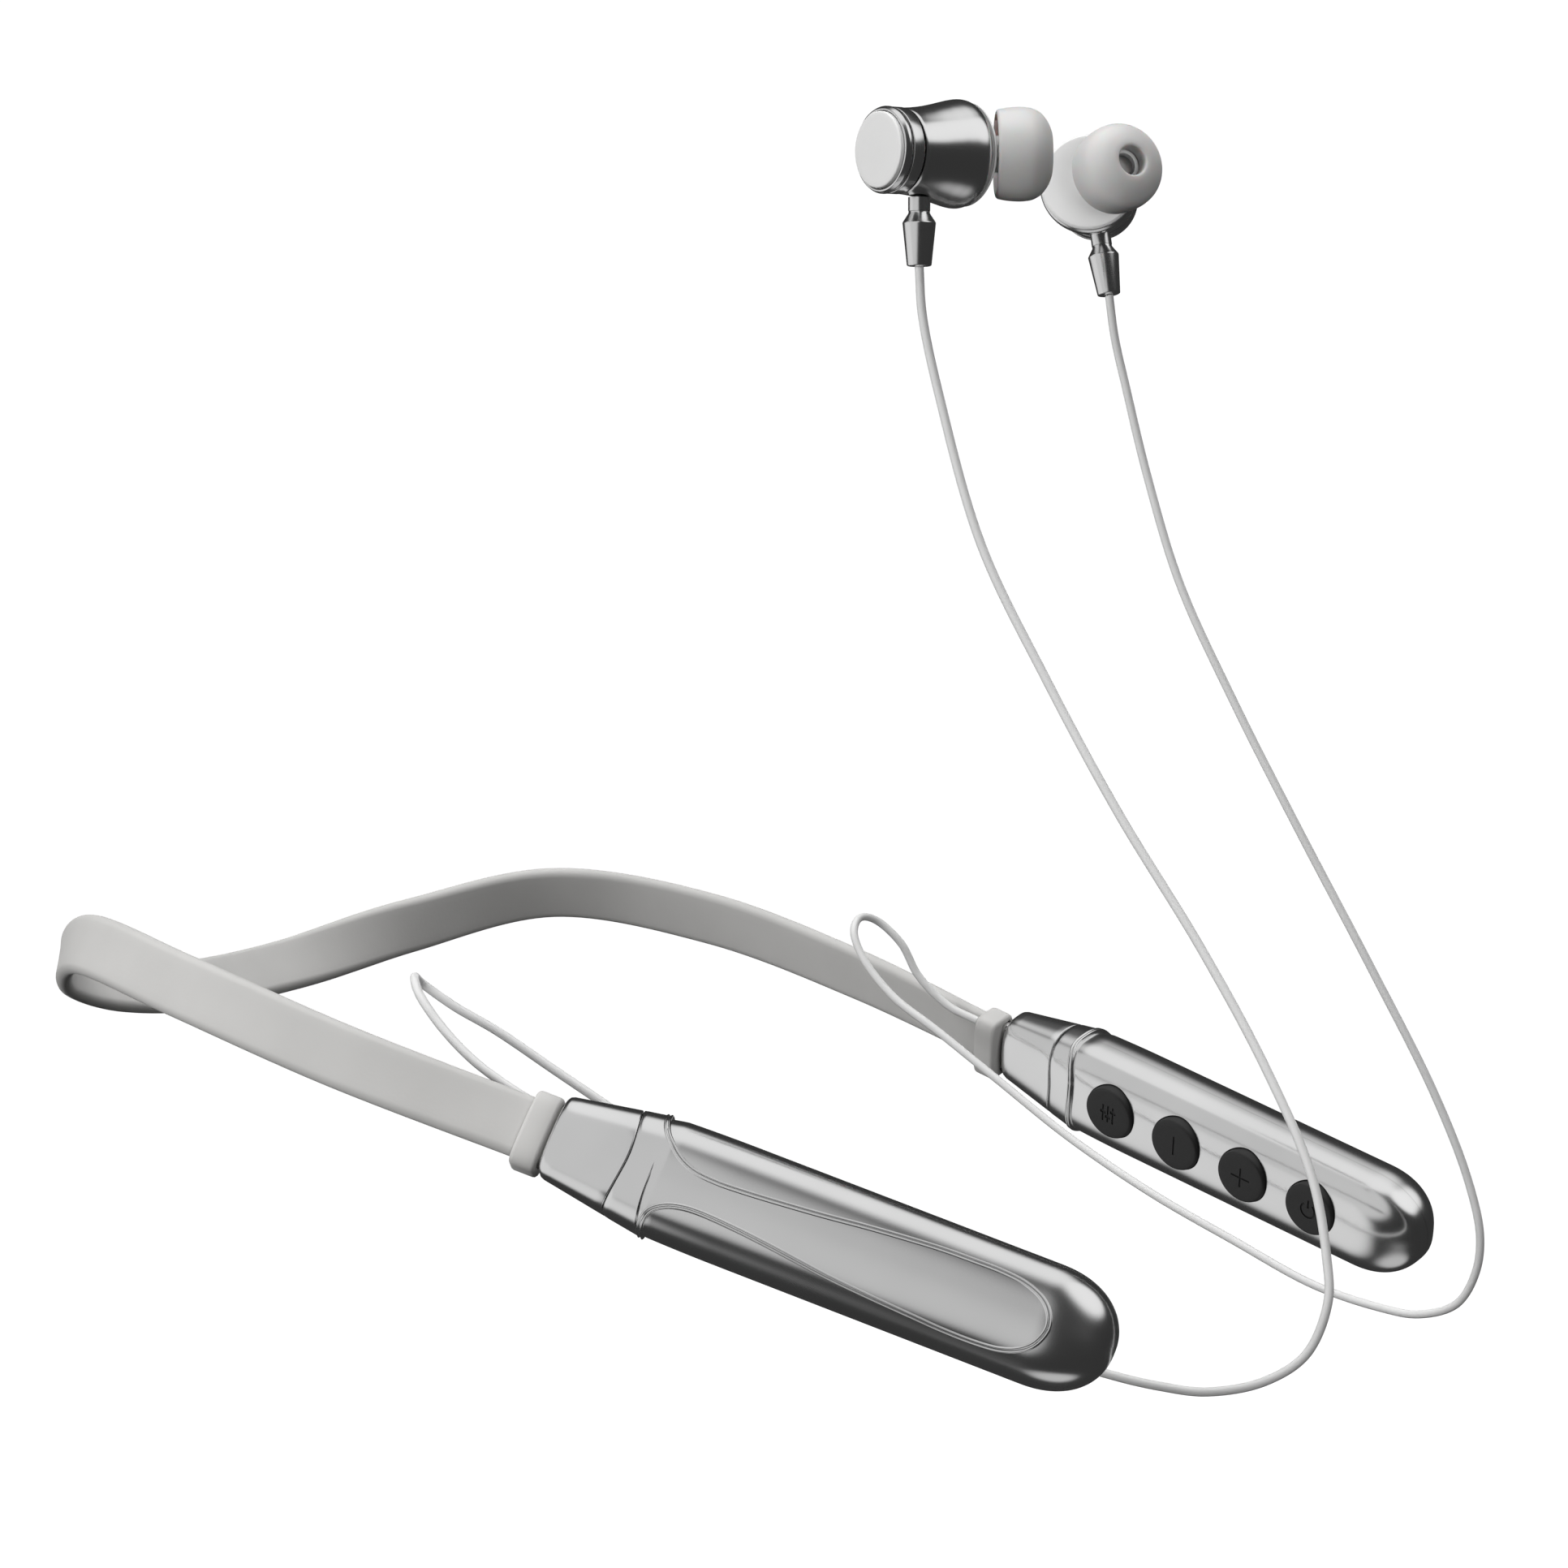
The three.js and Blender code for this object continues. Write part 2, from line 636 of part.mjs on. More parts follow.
function frontHousing() {
  const outer = bulbOutline(0);
  const inner = bulbOutline(BULB_WALL);
  return turned([inner[0], ...outer, ...inner.reverse()]);
}

function rearHousing() {
  const front = -WAIST_AT - GAP;
  const rear = front - BARREL_LENGTH;
  return turned([
    [rear, BARREL_RADIUS - BARREL_WALL],
    [rear, BARREL_RADIUS],
    [front, BARREL_RADIUS],
    [front, BARREL_RADIUS - BARREL_WALL],
    [rear, BARREL_RADIUS - BARREL_WALL],
  ]);
}

const BARREL_REAR = -WAIST_AT - GAP - BARREL_LENGTH;

function bevelRing() {
  const front = BARREL_REAR - GAP;
  const rear = front - BEVEL_WIDTH;
  const bore = END_CAP_RADIUS + GAP;
  return turned([
    [rear, bore],
    [rear, BEVEL_RADIUS - GAP],
    [front - BEVEL_WIDTH / 2, BEVEL_RADIUS],
    [front, BEVEL_RADIUS],
    [front, bore],
    [rear, bore],
  ]);
}

function endCap() {
  const rear = BARREL_REAR - GAP - BEVEL_WIDTH - END_CAP_PROUD;
  const edge = 0.3;
  return turned([
    [rear, 0],
    [rear, END_CAP_RADIUS - edge],
    [rear + edge, END_CAP_RADIUS],
    [rear + END_CAP_THICKNESS, END_CAP_RADIUS],
    [rear + END_CAP_THICKNESS, 0],
  ]);
}

// A piece along the nozzle's axis, turned into the earbud's frame.
function alongNozzle(geometry) {
  return geometry.rotateZ(THREE.MathUtils.degToRad(-TIP_BEND));
}

const PLATE_REAR = SHOULDER_LENGTH + GAP;
const PLATE_FRONT = PLATE_REAR + PLATE_THICKNESS;
const PLATE_RADIUS = BULB_RADIUS - SHOULDER_DROP;
const PLATE_CORNER = new THREE.Vector2(PLATE_FRONT, PLATE_RADIUS - PLATE_EDGE);
const NOZZLE_WAY = new THREE.Vector2(1, 0).rotateAround(
  new THREE.Vector2(),
  THREE.MathUtils.degToRad(TIP_BEND),
);
// Along the nozzle, from where its axis starts in the bulb.
const TIP_AT = PLATE_CORNER.dot(NOZZLE_WAY) + TIP_CLEARANCE;
const NOZZLE_END = TIP_AT + NOZZLE_REACH;

// A disc that closes the bulb, with the slanting nozzle in one piece with it.
function frontPlate() {
  const disc = turned([
    [PLATE_REAR, 0],
    [PLATE_REAR, PLATE_RADIUS],
    [PLATE_FRONT - PLATE_EDGE, PLATE_RADIUS],
    [PLATE_FRONT, PLATE_RADIUS - PLATE_EDGE],
    [PLATE_FRONT, 0],
  ]);
  const behind = solid(box([FAR, FAR, FAR], [PLATE_REAR - FAR / 2, 0, 0]));
  const tube = solid(alongNozzle(bar(0, NOZZLE_END, NOZZLE_RADIUS, 24))).subtract(behind);
  const bore = solid(alongNozzle(bar(-BULB_RADIUS, NOZZLE_END * 2, NOZZLE_BORE)));
  return geometryOf(solid(disc).add(tube).subtract(bore));
}

function nozzleMesh() {
  const end = NOZZLE_END - MESH_SETBACK;
  return bar(end - MESH_THICKNESS, end, NOZZLE_BORE - GAP);
}

// A mushroom: a core round the nozzle, and a skirt that turns back over it.
function earTip() {
  const rear = TIP_AT;
  const front = rear + TIP_LENGTH;
  const seat = NOZZLE_END + GAP;
  const coreBore = NOZZLE_RADIUS + GAP;
  const core = coreBore + TIP_CORE_WALL;
  return turned([
    [rear, TIP_REAR_RADIUS],
    [rear + TIP_LENGTH * 0.22, TIP_RADIUS * 0.985],
    [rear + TIP_LENGTH * 0.45, TIP_RADIUS],
    [rear + TIP_LENGTH * 0.65, TIP_RADIUS * 0.97],
    [rear + TIP_LENGTH * 0.8, TIP_RADIUS * 0.87],
    [rear + TIP_LENGTH * 0.93, TIP_RADIUS * 0.66],
    [front, TIP_RADIUS * 0.44],
    [front, TIP_MOUTH_RADIUS],
    [seat, TIP_MOUTH_RADIUS],
    [seat, coreBore],
    [rear + TIP_CORE_SETBACK, coreBore],
    [rear + TIP_CORE_SETBACK, core],
    [rear + TIP_LENGTH * 0.72, core],
    [rear + TIP_LENGTH * 0.66, TIP_RADIUS * 0.97 - TIP_SKIN],
    [rear + TIP_LENGTH * 0.4, TIP_RADIUS - TIP_SKIN],
    [rear, TIP_REAR_RADIUS - TIP_SKIN],
    [rear, TIP_REAR_RADIUS],
  ], 32);
}

// Stem pieces hang along -Z below the barrel.
function hanging(points) {
  return turned(points, 20).rotateY(Math.PI / 2).translate(-STEM_AT, 0, 0);
}

// Its top is cut to follow the bulb's outline.
function stem() {
  const rod = hanging([[0, 0], [0, STEM_RADIUS], [STEM_END, STEM_RADIUS], [STEM_END, 0]]);
  const outline = bulbOutline(-GAP);
  const [rearmost] = outline[0];
  const [foremost] = outline.at(-1);
  const room = turned([[rearmost, 0], ...outline, [foremost, 0]]);
  return geometryOf(solid(rod).subtract(solid(room)));
}

const FERRULE_TOP = STEM_END + GAP;
const FERRULE_END = FERRULE_TOP + FERRULE_LENGTH;

function ferrule() {
  return hanging([
    [FERRULE_TOP, 0],
    [FERRULE_TOP, STEM_RADIUS],
    [FERRULE_TOP + FERRULE_BEVEL, FERRULE_TOP_RADIUS],
    [FERRULE_END, FERRULE_END_RADIUS],
    [FERRULE_END, 0],
  ]);
}

// ---- Cables --------------------------------------------------------------------------------

function cable(start, route, end) {
  const points = [start, ...route.map((point) => new THREE.Vector3(...point)), end];
  const curve = new THREE.CatmullRomCurve3(points);
  curve.arcLengthDivisions = 800;
  const section = new THREE.Shape();
  const radius = CABLE_DIAMETER / 2;
  section.setFromPoints(
    roundOutline(radius).map(([x, y]) => new THREE.Vector2(x, y)),
  );
  return new THREE.ExtrudeGeometry(section, {
    steps: Math.ceil(curve.getLength() / CABLE_STEP),
    bevelEnabled: false,
    curveSegments: CABLE_SIDES,
    extrudePath: curve,
  });
}

// ---- The object ------------------------------------------------------------------------------

const earphones = new THREE.Group();
earphones.name = "neckband_earphones";

function piece(parent, name, geometry, look) {
  const mesh = new THREE.Mesh(geometry, look);
  mesh.name = name;
  parent.add(mesh);
  return mesh;
}

const corner = cornerLength();
const bandRuns = {
  nape: [bandLength - corner + FLEX_GAP / 2, corner - FLEX_GAP / 2],
  left: [corner + FLEX_GAP / 2, bandLength],
  right: [0, bandLength - corner - FLEX_GAP / 2],
};
for (const [place, [from, to]] of Object.entries(bandRuns)) {
  piece(earphones, `band_${place}`, bandPiece(from, to), SILICONE);
  piece(earphones, `spring_wire_${place}`, springWire(from, to), STEEL);
}

for (const side of ["left", "right"]) {
  const mirror = new THREE.Group();
  mirror.scale.y = side === "left" ? 1 : -1;
  earphones.add(mirror);
  const pod = new THREE.Group();
  pod.rotation.copy(podEuler);
  pod.position.copy(podPosition);
  mirror.add(pod);

  piece(pod, `collar_${side}`, collar(), SILICONE);
  piece(pod, `tail_cap_${side}`, tailCap(), CHROME);
  piece(pod, `neck_ring_${side}`, neckBand(), CHROME);
  piece(pod, `bead_ring_${side}`, beadRing(), CHROME);
  piece(pod, `outer_trim_${side}`, tongueTrim(), CHROME);

  if (side === "left") {
    piece(pod, "outer_shell_left", geometryOf(outerShell().subtract(socketMouth())), CHROME);
    piece(pod, "inner_shell_left", buttonShell(), CHROME);
    piece(pod, "circuit_board", circuitBoard(), BOARD_GREEN);
    piece(pod, "charging_socket", chargingSocket(), STEEL);
    BUTTON_NAMES.forEach((name, order) => {
      const button = piece(pod, name, buttonCap(), BLACK_RUBBER);
      button.rotation.z = -Math.PI / 2;
      button.position.set(...buttonPlace(order));
      const dome = box([SWITCH_SIDE, SWITCH_HEIGHT, SWITCH_SIDE], [0, 0, 0]);
      const tact = piece(pod, name.replace("button", "switch"), dome, DARK_PLASTIC);
      const [x, , z] = buttonPlace(order);
      tact.position.set(x, -BOARD_FACE - GAP - SWITCH_HEIGHT / 2, z);
    });
    const [micX, micY] = MICROPHONE_SIZE;
    const microphone = piece(pod, "microphone", box(MICROPHONE_SIZE, [0, 0, 0]), DARK_PLASTIC);
    const behindBoard = -BOARD_FACE + BOARD_THICKNESS + GAP + micY / 2;
    microphone.position.set(BOARD_START + micX, behindBoard, 0);
    const motor = piece(pod, "vibration_motor", bar(0, MOTOR_LENGTH, MOTOR_RADIUS), STEEL);
    motor.position.set(BOARD_START + micX * 2, MOTOR_OFFSET, 0);
  } else {
    piece(pod, "outer_shell_right", geometryOf(outerShell()), CHROME);
    piece(pod, "inner_shell_right", geometryOf(bodyHalf(-1)), CHROME);
    const batteryEnd = BATTERY_START + BATTERY_LENGTH;
    piece(pod, "battery", bar(BATTERY_START, batteryEnd, BATTERY_RADIUS, 24), CELL_SILVER);
    const guard = box([BOARD_THICKNESS, BATTERY_RADIUS * 1.6, BATTERY_RADIUS * 1.6], [0, 0, 0]);
    const guardBoard = piece(pod, "battery_board", guard, BOARD_GREEN);
    guardBoard.position.x = batteryEnd + MOTOR_GAP;
  }

  const { at, heading, tilt, roll } = EARBUDS[side];
  const bud = new THREE.Group();
  bud.position.set(...at);
  bud.rotation.set(
    THREE.MathUtils.degToRad(roll),
    THREE.MathUtils.degToRad(-tilt),
    THREE.MathUtils.degToRad(heading),
    "ZYX",
  );
  earphones.add(bud);
  const budMirror = new THREE.Group();
  budMirror.scale.y = side === "left" ? -1 : 1;
  bud.add(budMirror);
  const nozzle = new THREE.Group();
  nozzle.rotation.z = THREE.MathUtils.degToRad(-TIP_BEND);
  budMirror.add(nozzle);

  piece(budMirror, `end_cap_${side}`, endCap(), PALE_PLASTIC);
  piece(budMirror, `bevel_ring_${side}`, bevelRing(), CHROME);
  piece(budMirror, `rear_housing_${side}`, rearHousing(), CHROME);
  piece(budMirror, `front_housing_${side}`, frontHousing(), CHROME);
  piece(budMirror, `front_plate_${side}`, frontPlate(), PALE_PLASTIC);
  piece(budMirror, `stem_${side}`, stem(), CHROME);
  piece(budMirror, `ferrule_${side}`, ferrule(), CHROME);
  piece(budMirror, `driver_${side}`, bar(-DRIVER_LENGTH, 0, DRIVER_RADIUS), DARK_PLASTIC);
  const magnetFront = BARREL_REAR + GAP * 3 + MAGNET_LENGTH;
  const magnet = bar(magnetFront - MAGNET_LENGTH, magnetFront, MAGNET_RADIUS);
  piece(budMirror, `parking_magnet_${side}`, magnet, STEEL);
  piece(nozzle, `nozzle_mesh_${side}`, nozzleMesh(), STEEL);
  piece(nozzle, `ear_tip_${side}`, earTip(), SILICONE);

  bud.updateMatrixWorld(true);
  const reflect = new THREE.Vector3(1, mirror.scale.y, 1);
  const start = inPod(COLLAR_REAR - GAP, -BAND_INSET - CABLE_EXIT_INSET, CABLE_EXIT_RISE);
  const end = new THREE.Vector3(-STEM_AT, 0, -FERRULE_END - GAP).applyMatrix4(bud.matrix);
  const run = cable(start.multiply(reflect), CABLE_ROUTES[side], end);
  piece(earphones, `cable_${side}`, run, CABLE_SHEATH);
}

export default earphones;
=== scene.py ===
"""Neckband earphones: a soft flat band, two bright metal-look pods and two earbuds on cables.

Millimetres are used for sizes and are multiplied by MM where a mesh is made. Pieces of the pods and
earbuds are made in the left pod's or the earbud's own frame and then put where the CAD has them.
"""

import math

import bmesh
import bpy
from mathutils import Euler, Matrix, Vector
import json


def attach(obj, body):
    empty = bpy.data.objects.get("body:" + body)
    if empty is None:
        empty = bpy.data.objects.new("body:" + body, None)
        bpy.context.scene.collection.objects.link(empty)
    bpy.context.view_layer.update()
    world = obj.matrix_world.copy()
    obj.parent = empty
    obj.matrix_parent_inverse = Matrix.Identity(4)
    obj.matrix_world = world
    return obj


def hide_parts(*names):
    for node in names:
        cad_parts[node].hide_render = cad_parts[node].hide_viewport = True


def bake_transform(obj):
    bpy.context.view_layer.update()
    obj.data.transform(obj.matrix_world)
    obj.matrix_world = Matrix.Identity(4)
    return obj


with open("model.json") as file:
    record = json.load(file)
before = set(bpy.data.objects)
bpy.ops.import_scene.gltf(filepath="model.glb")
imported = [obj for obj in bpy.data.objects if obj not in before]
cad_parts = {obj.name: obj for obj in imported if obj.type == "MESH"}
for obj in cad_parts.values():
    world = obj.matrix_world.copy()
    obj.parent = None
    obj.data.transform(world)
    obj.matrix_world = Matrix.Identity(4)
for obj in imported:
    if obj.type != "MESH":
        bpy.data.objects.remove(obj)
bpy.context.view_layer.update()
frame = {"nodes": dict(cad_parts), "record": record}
nodes = frame["nodes"]

MM = 0.001
SIDES = ("left", "right")

# ---- Sizes shared with the model ---------------------------------------------------------------

BAND_REACH = 93.2
BAND_SPREAD = 83.9
BAND_WIDTH = 8.3
BAND_THICKNESS = 2.25
BAND_INSET = 1.3
BAND_END_IN_POD = 4.2
COLLAR_REAR = -4.4
COLLAR_FRONT = -0.7
POD_LENGTH = 75.9
NOSE_LENGTH = 10.0
NOSE_POWER = 2.2
SECTION_POWER = 2.8
TAIL_LENGTH = 9.2
BODY_START = 15.4
TAIL_HALF = (3.7, 5.4)
SEAM_HALF = (5.3, 6.9)
BODY_HALF = (6.3, 7.85)
POD_WALL = 1.1
POD_EULER = (23.35, 19.5, -11.7)
BAND_END = Vector((BAND_REACH, 78.9, -10.8))
BUTTON_RADIUS = 4.15
BUTTON_FIRST = 22.8
BUTTON_PITCH = 12.15
BUTTON_RISE = 1.2
BUTTONS = ("button_mode", "button_volume_down", "button_volume_up", "button_power")
TIP_BEND = 34.0
EARBUDS = {
    "right": ((132.0, -29.8, 114.2), 60.0, 0.0, 0.0),
    "left": ((128.54, 29.28, 114.32), -75.0, 8.0, 9.0),
}
STEM_AT = 5.95
CABLE_DIAMETER = 1.2

CABLE_ROUTES = {
    "right": (
        (0.0885, -0.0745, -0.006), (0.0835, -0.074, -0.003), (0.0785, -0.073, 0.001),
        (0.0745, -0.0715, 0.005), (0.0725, -0.069, 0.007), (0.072, -0.066, 0.006),
        (0.076, -0.0645, 0.003), (0.0815, -0.0635, 0.0), (0.0895, -0.0625, -0.005),
        (0.1005, -0.062, -0.0115), (0.1135, -0.061, -0.0195), (0.1305, -0.058, -0.0295),
        (0.147, -0.055, -0.037), (0.1615, -0.0525, -0.0415), (0.1685, -0.051, -0.043),
        (0.1745, -0.05, -0.0435), (0.1815, -0.0485, -0.042), (0.1865, -0.047, -0.0385),
        (0.189, -0.046, -0.032), (0.1885, -0.045, -0.0265), (0.186, -0.0435, -0.0165),
        (0.1795, -0.042, -0.0035), (0.17, -0.04, 0.0115), (0.158, -0.038, 0.0285),
        (0.1475, -0.0365, 0.0455), (0.138, -0.0355, 0.063), (0.132, -0.035, 0.082),
        (0.1295, -0.035, 0.093),
    ),
    "left": (
        (0.0885, 0.075, -0.006), (0.084, 0.074, -0.0015), (0.0815, 0.073, 0.0035),
        (0.078, 0.0715, 0.007), (0.0765, 0.069, 0.0075), (0.0765, 0.0665, 0.0055),
        (0.0785, 0.0655, 0.0015), (0.0835, 0.065, -0.004), (0.091, 0.0645, -0.009),
        (0.101, 0.064, -0.016), (0.113, 0.0625, -0.024), (0.127, 0.06, -0.0315),
        (0.1405, 0.0575, -0.0375), (0.1535, 0.055, -0.043), (0.164, 0.053, -0.0455),
        (0.1705, 0.0515, -0.046), (0.1765, 0.05, -0.044), (0.1795, 0.049, -0.0395),
        (0.1805, 0.048, -0.034), (0.179, 0.047, -0.026), (0.1745, 0.045, -0.0135),
        (0.166, 0.0425, 0.004), (0.156, 0.04, 0.0235), (0.147, 0.038, 0.0415),
        (0.1395, 0.0365, 0.058), (0.135, 0.0355, 0.073), (0.132, 0.0345, 0.086),
        (0.1305, 0.034, 0.093),
    ),
}
CABLE_EXIT = {"left": (0.093117, 0.07537, -0.008109), "right": (0.093117, -0.07537, -0.008109)}
CABLE_END = {"left": (0.129801, 0.033597, 0.098917), "right": (0.129025, -0.034953, 0.0993)}

# ---- Curves ------------------------------------------------------------------------------------


def hermite(a, b, ta, tb, t):
    """The cubic from a to b with end tangents ta and tb."""
    t2, t3 = t * t, t * t * t
    return (
        a * (2 * t3 - 3 * t2 + 1)
        + ta * (t3 - 2 * t2 + t)
        + b * (3 * t2 - 2 * t3)
        + tb * (t3 - t2)
    )


def centripetal(points, u):
    """The centripetal Catmull-Rom curve through points, at u from 0 to len(points) - 1."""
    last = len(points) - 1
    i = min(int(u), last - 1)
    before = points[i - 1] if i > 0 else points[0] * 2 - points[1]
    after = points[i + 2] if i + 2 <= last else points[last] * 2 - points[last - 1]
    p0, p1, p2, p3 = before, points[i], points[i + 1], after
    d0, d1, d2 = (math.sqrt((b - a).length) or 1.0 for a, b in ((p0, p1), (p1, p2), (p2, p3)))
    t1 = ((p1 - p0) / d0 - (p2 - p0) / (d0 + d1) + (p2 - p1) / d1) * d1
    t2 = ((p2 - p1) / d1 - (p3 - p1) / (d1 + d2) + (p3 - p2) / d2) * d1
    return hermite(p1, p2, t1, t2, u - i)


def uniform(points, u):
    """The uniform Catmull-Rom curve through points, at u."""
    last = len(points) - 1
    i = min(int(u), last - 1)
    before = points[i - 1] if i > 0 else points[0] * 2 - points[1]
    after = points[i + 2] if i + 2 <= last else points[last] * 2 - points[last - 1]
    ta = (points[i + 1] - before) * 0.5
    tb = (after - points[i]) * 0.5
    return hermite(points[i], points[i + 1], ta, tb, u - i)


# ---- Camera and cords --------------------------------------------------------------------------

camera_data = bpy.data.cameras.new("camera")
camera_data.lens = 127.85
camera_data.sensor_width = 36.0
camera = bpy.data.objects.new("camera", camera_data)
camera.location = (0.40724, -0.70818, 0.05668)
azimuth, elevation = math.radians(23.84), math.radians(1.96)
facing = Vector(
    (
        -math.sin(azimuth) * math.cos(elevation),
        math.cos(azimuth) * math.cos(elevation),
        -math.sin(elevation),
    )
)
camera.rotation_euler = facing.to_track_quat("-Z", "Y").to_euler()
bpy.context.scene.collection.objects.link(camera)
bpy.context.scene.camera = camera


def make_cable(side):
    points = [Vector(CABLE_EXIT[side])]
    points += [Vector(p) for p in CABLE_ROUTES[side]]
    points.append(Vector(CABLE_END[side]))
    per_span = 12
    line = [
        centripetal(points, i / per_span) for i in range((len(points) - 1) * per_span + 1)
    ]
    curve = bpy.data.curves.new(f"cable_sheath_{side}", "CURVE")
    curve.dimensions = "3D"
    curve.bevel_depth = 1.0  # times each point's radius
    curve.bevel_resolution = 5
    curve.use_fill_caps = True
    spline = curve.splines.new("POLY")
    spline.points.add(len(line) - 1)
    for spot, place in zip(spline.points, line):
        spot.co = (*place, 1.0)
        spot.radius = CABLE_DIAMETER / 2 * MM
    spline.use_smooth = True
    piece = bpy.data.objects.new(f"cable_sheath_{side}", curve)
    bpy.context.scene.collection.objects.link(piece)
    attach(piece, f"{side}_arm")
    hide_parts(f"cable_{side}")
    return piece


cables = {side: make_cable(side) for side in SIDES}

# ---- Materials ---------------------------------------------------------------------------------


def linear(value):
    """A display grey from 0 to 1 as scene-linear."""
    return value / 12.92 if value <= 0.04045 else ((value + 0.055) / 1.055) ** 2.4


def tone(r, g, b):
    return (linear(r), linear(g), linear(b), 1.0)


def surface(name, dark, light, roughness, metallic=0.0, grain=900.0, bump=0.02, spread=0.06, **extra):
    """A procedural finish: two tones and a roughness, all varied by noise, with a fine bump."""
    made = bpy.data.materials.new(name)
    made.use_nodes = True
    tree = made.node_tree
    shader = tree.nodes["Principled BSDF"]
    shader.inputs["Metallic"].default_value = metallic
    for socket, value in extra.items():
        shader.inputs[socket.replace("_", " ")].default_value = value
    place = tree.nodes.new("ShaderNodeTexCoord")
    fine = tree.nodes.new("ShaderNodeTexNoise")
    fine.inputs["Scale"].default_value = grain
    fine.inputs["Detail"].default_value = 4.0
    broad = tree.nodes.new("ShaderNodeTexNoise")
    broad.inputs["Scale"].default_value = 60.0
    broad.inputs["Detail"].default_value = 3.0
    ramp = tree.nodes.new("ShaderNodeValToRGB")
    ramp.color_ramp.elements[0].position = 0.3
    ramp.color_ramp.elements[0].color = dark
    ramp.color_ramp.elements[1].position = 0.7
    ramp.color_ramp.elements[1].color = light
    rough = tree.nodes.new("ShaderNodeMapRange")
    rough.inputs["To Min"].default_value = max(0.0, roughness - spread)
    rough.inputs["To Max"].default_value = roughness + spread
    lift = tree.nodes.new("ShaderNodeBump")
    lift.inputs["Strength"].default_value = bump
    lift.inputs["Distance"].default_value = 0.1 * MM
    link = tree.links.new
    link(place.outputs["Object"], fine.inputs["Vector"])
    link(place.outputs["Object"], broad.inputs["Vector"])
    link(broad.outputs["Fac"], ramp.inputs["Fac"])
    link(ramp.outputs["Color"], shader.inputs["Base Color"])
    link(broad.outputs["Fac"], rough.inputs["Value"])
    link(rough.outputs["Result"], shader.inputs["Roughness"])
    link(fine.outputs["Fac"], lift.inputs["Height"])
    link(lift.outputs["Normal"], shader.inputs["Normal"])
    return made


LOOKS = {
    "band_silicone": surface(
        "band_silicone", tone(0.735, 0.732, 0.725), tone(0.765, 0.762, 0.755), 0.58, grain=2200.0,
        bump=0.12, Sheen_Weight=0.12, Sheen_Roughness=0.4,
    ),
    "tip_silicone": surface(
        "tip_silicone", tone(0.785, 0.785, 0.782), tone(0.81, 0.81, 0.807), 0.42, grain=1500.0,
        bump=0.06, Subsurface_Weight=0.25, Subsurface_Scale=0.002,
    ),
    "bright_shell": surface(
        "bright_shell", tone(0.9, 0.9, 0.9), tone(0.93, 0.93, 0.93), 0.2, metallic=1.0, grain=3500.0,
        bump=0.015, spread=0.025,
    ),
    "pale_plastic": surface(
        "pale_plastic", tone(0.885, 0.885, 0.883), tone(0.91, 0.91, 0.908), 0.5, grain=2500.0, bump=0.1,
    ),
    "button_rubber": surface(
        "button_rubber", tone(0.1, 0.1, 0.1), tone(0.13, 0.13, 0.13), 0.55, grain=3000.0, bump=0.15,
    ),
    # Near black for the floors and walls of the buttons' sunk marks: painted shade in the grooves.
    "mark_groove_shade": surface(
        "mark_groove_shade", tone(0.01, 0.01, 0.01), tone(0.02, 0.02, 0.02), 0.6, grain=3000.0, bump=0.1,
    ),
    "cable_sheath": surface(
        "cable_sheath", tone(0.85, 0.85, 0.848), tone(0.875, 0.875, 0.873), 0.45, grain=1800.0,
        bump=0.05,
    ),
    "spring_steel": surface(
        "spring_steel", tone(0.55, 0.55, 0.55), tone(0.65, 0.65, 0.65), 0.35, metallic=1.0, bump=0.05,
    ),
    "magnet_steel": surface(
        "magnet_steel", tone(0.6, 0.6, 0.6), tone(0.7, 0.7, 0.7), 0.3, metallic=1.0, bump=0.04,
    ),
    "dark_plastic": surface(
        "dark_plastic", tone(0.08, 0.08, 0.085), tone(0.12, 0.12, 0.125), 0.5, bump=0.1,
    ),
    "board": surface("board", tone(0.03, 0.2, 0.1), tone(0.05, 0.27, 0.14), 0.45, bump=0.08),
    "cell": surface("cell", tone(0.7, 0.72, 0.75), tone(0.78, 0.8, 0.82), 0.4, metallic=0.6, bump=0.08),
}

for entry in frame["record"]["subparts"]:
    node = nodes[entry["node"]]
    node.data.materials.clear()
    node.data.materials.append(LOOKS[entry["material_slot"]])

for cable in cables.values():
    cable.data.materials.append(LOOKS["cable_sheath"])

# ---- Mesh helpers ------------------------------------------------------------------------------


def mesh_object(name, verts, faces, look, body, replaced=(), at=None, smooth=40.0):
    """A shown piece from millimetre points, put at a matrix, that rides on a body."""
    matrix = at or Matrix.Identity(4)
    data = bpy.data.meshes.new(name)
    data.from_pydata([matrix @ Vector(v) * MM for v in verts], [], faces)
    data.validate()
    work = bmesh.new()
    work.from_mesh(data)
    bmesh.ops.recalc_face_normals(work, faces=work.faces)
    work.to_mesh(data)
    work.free()
    data.shade_smooth()
    data.materials.append(LOOKS[look])
    piece = bpy.data.objects.new(name, data)
    bpy.context.scene.collection.objects.link(piece)
    set_sharp(piece, smooth)
    if body:
        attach(piece, body)
    if replaced:
        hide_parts(*replaced)
    return piece


def set_sharp(piece, degrees):
    """Edges sharper than this stay crisp under smooth shading."""
    work = bmesh.new()
    work.from_mesh(piece.data)
    limit = math.radians(degrees)
    for edge in work.edges:
        if len(edge.link_faces) == 2:
            edge.smooth = edge.calc_face_angle(0.0) < limit
    work.to_mesh(piece.data)
    work.free()


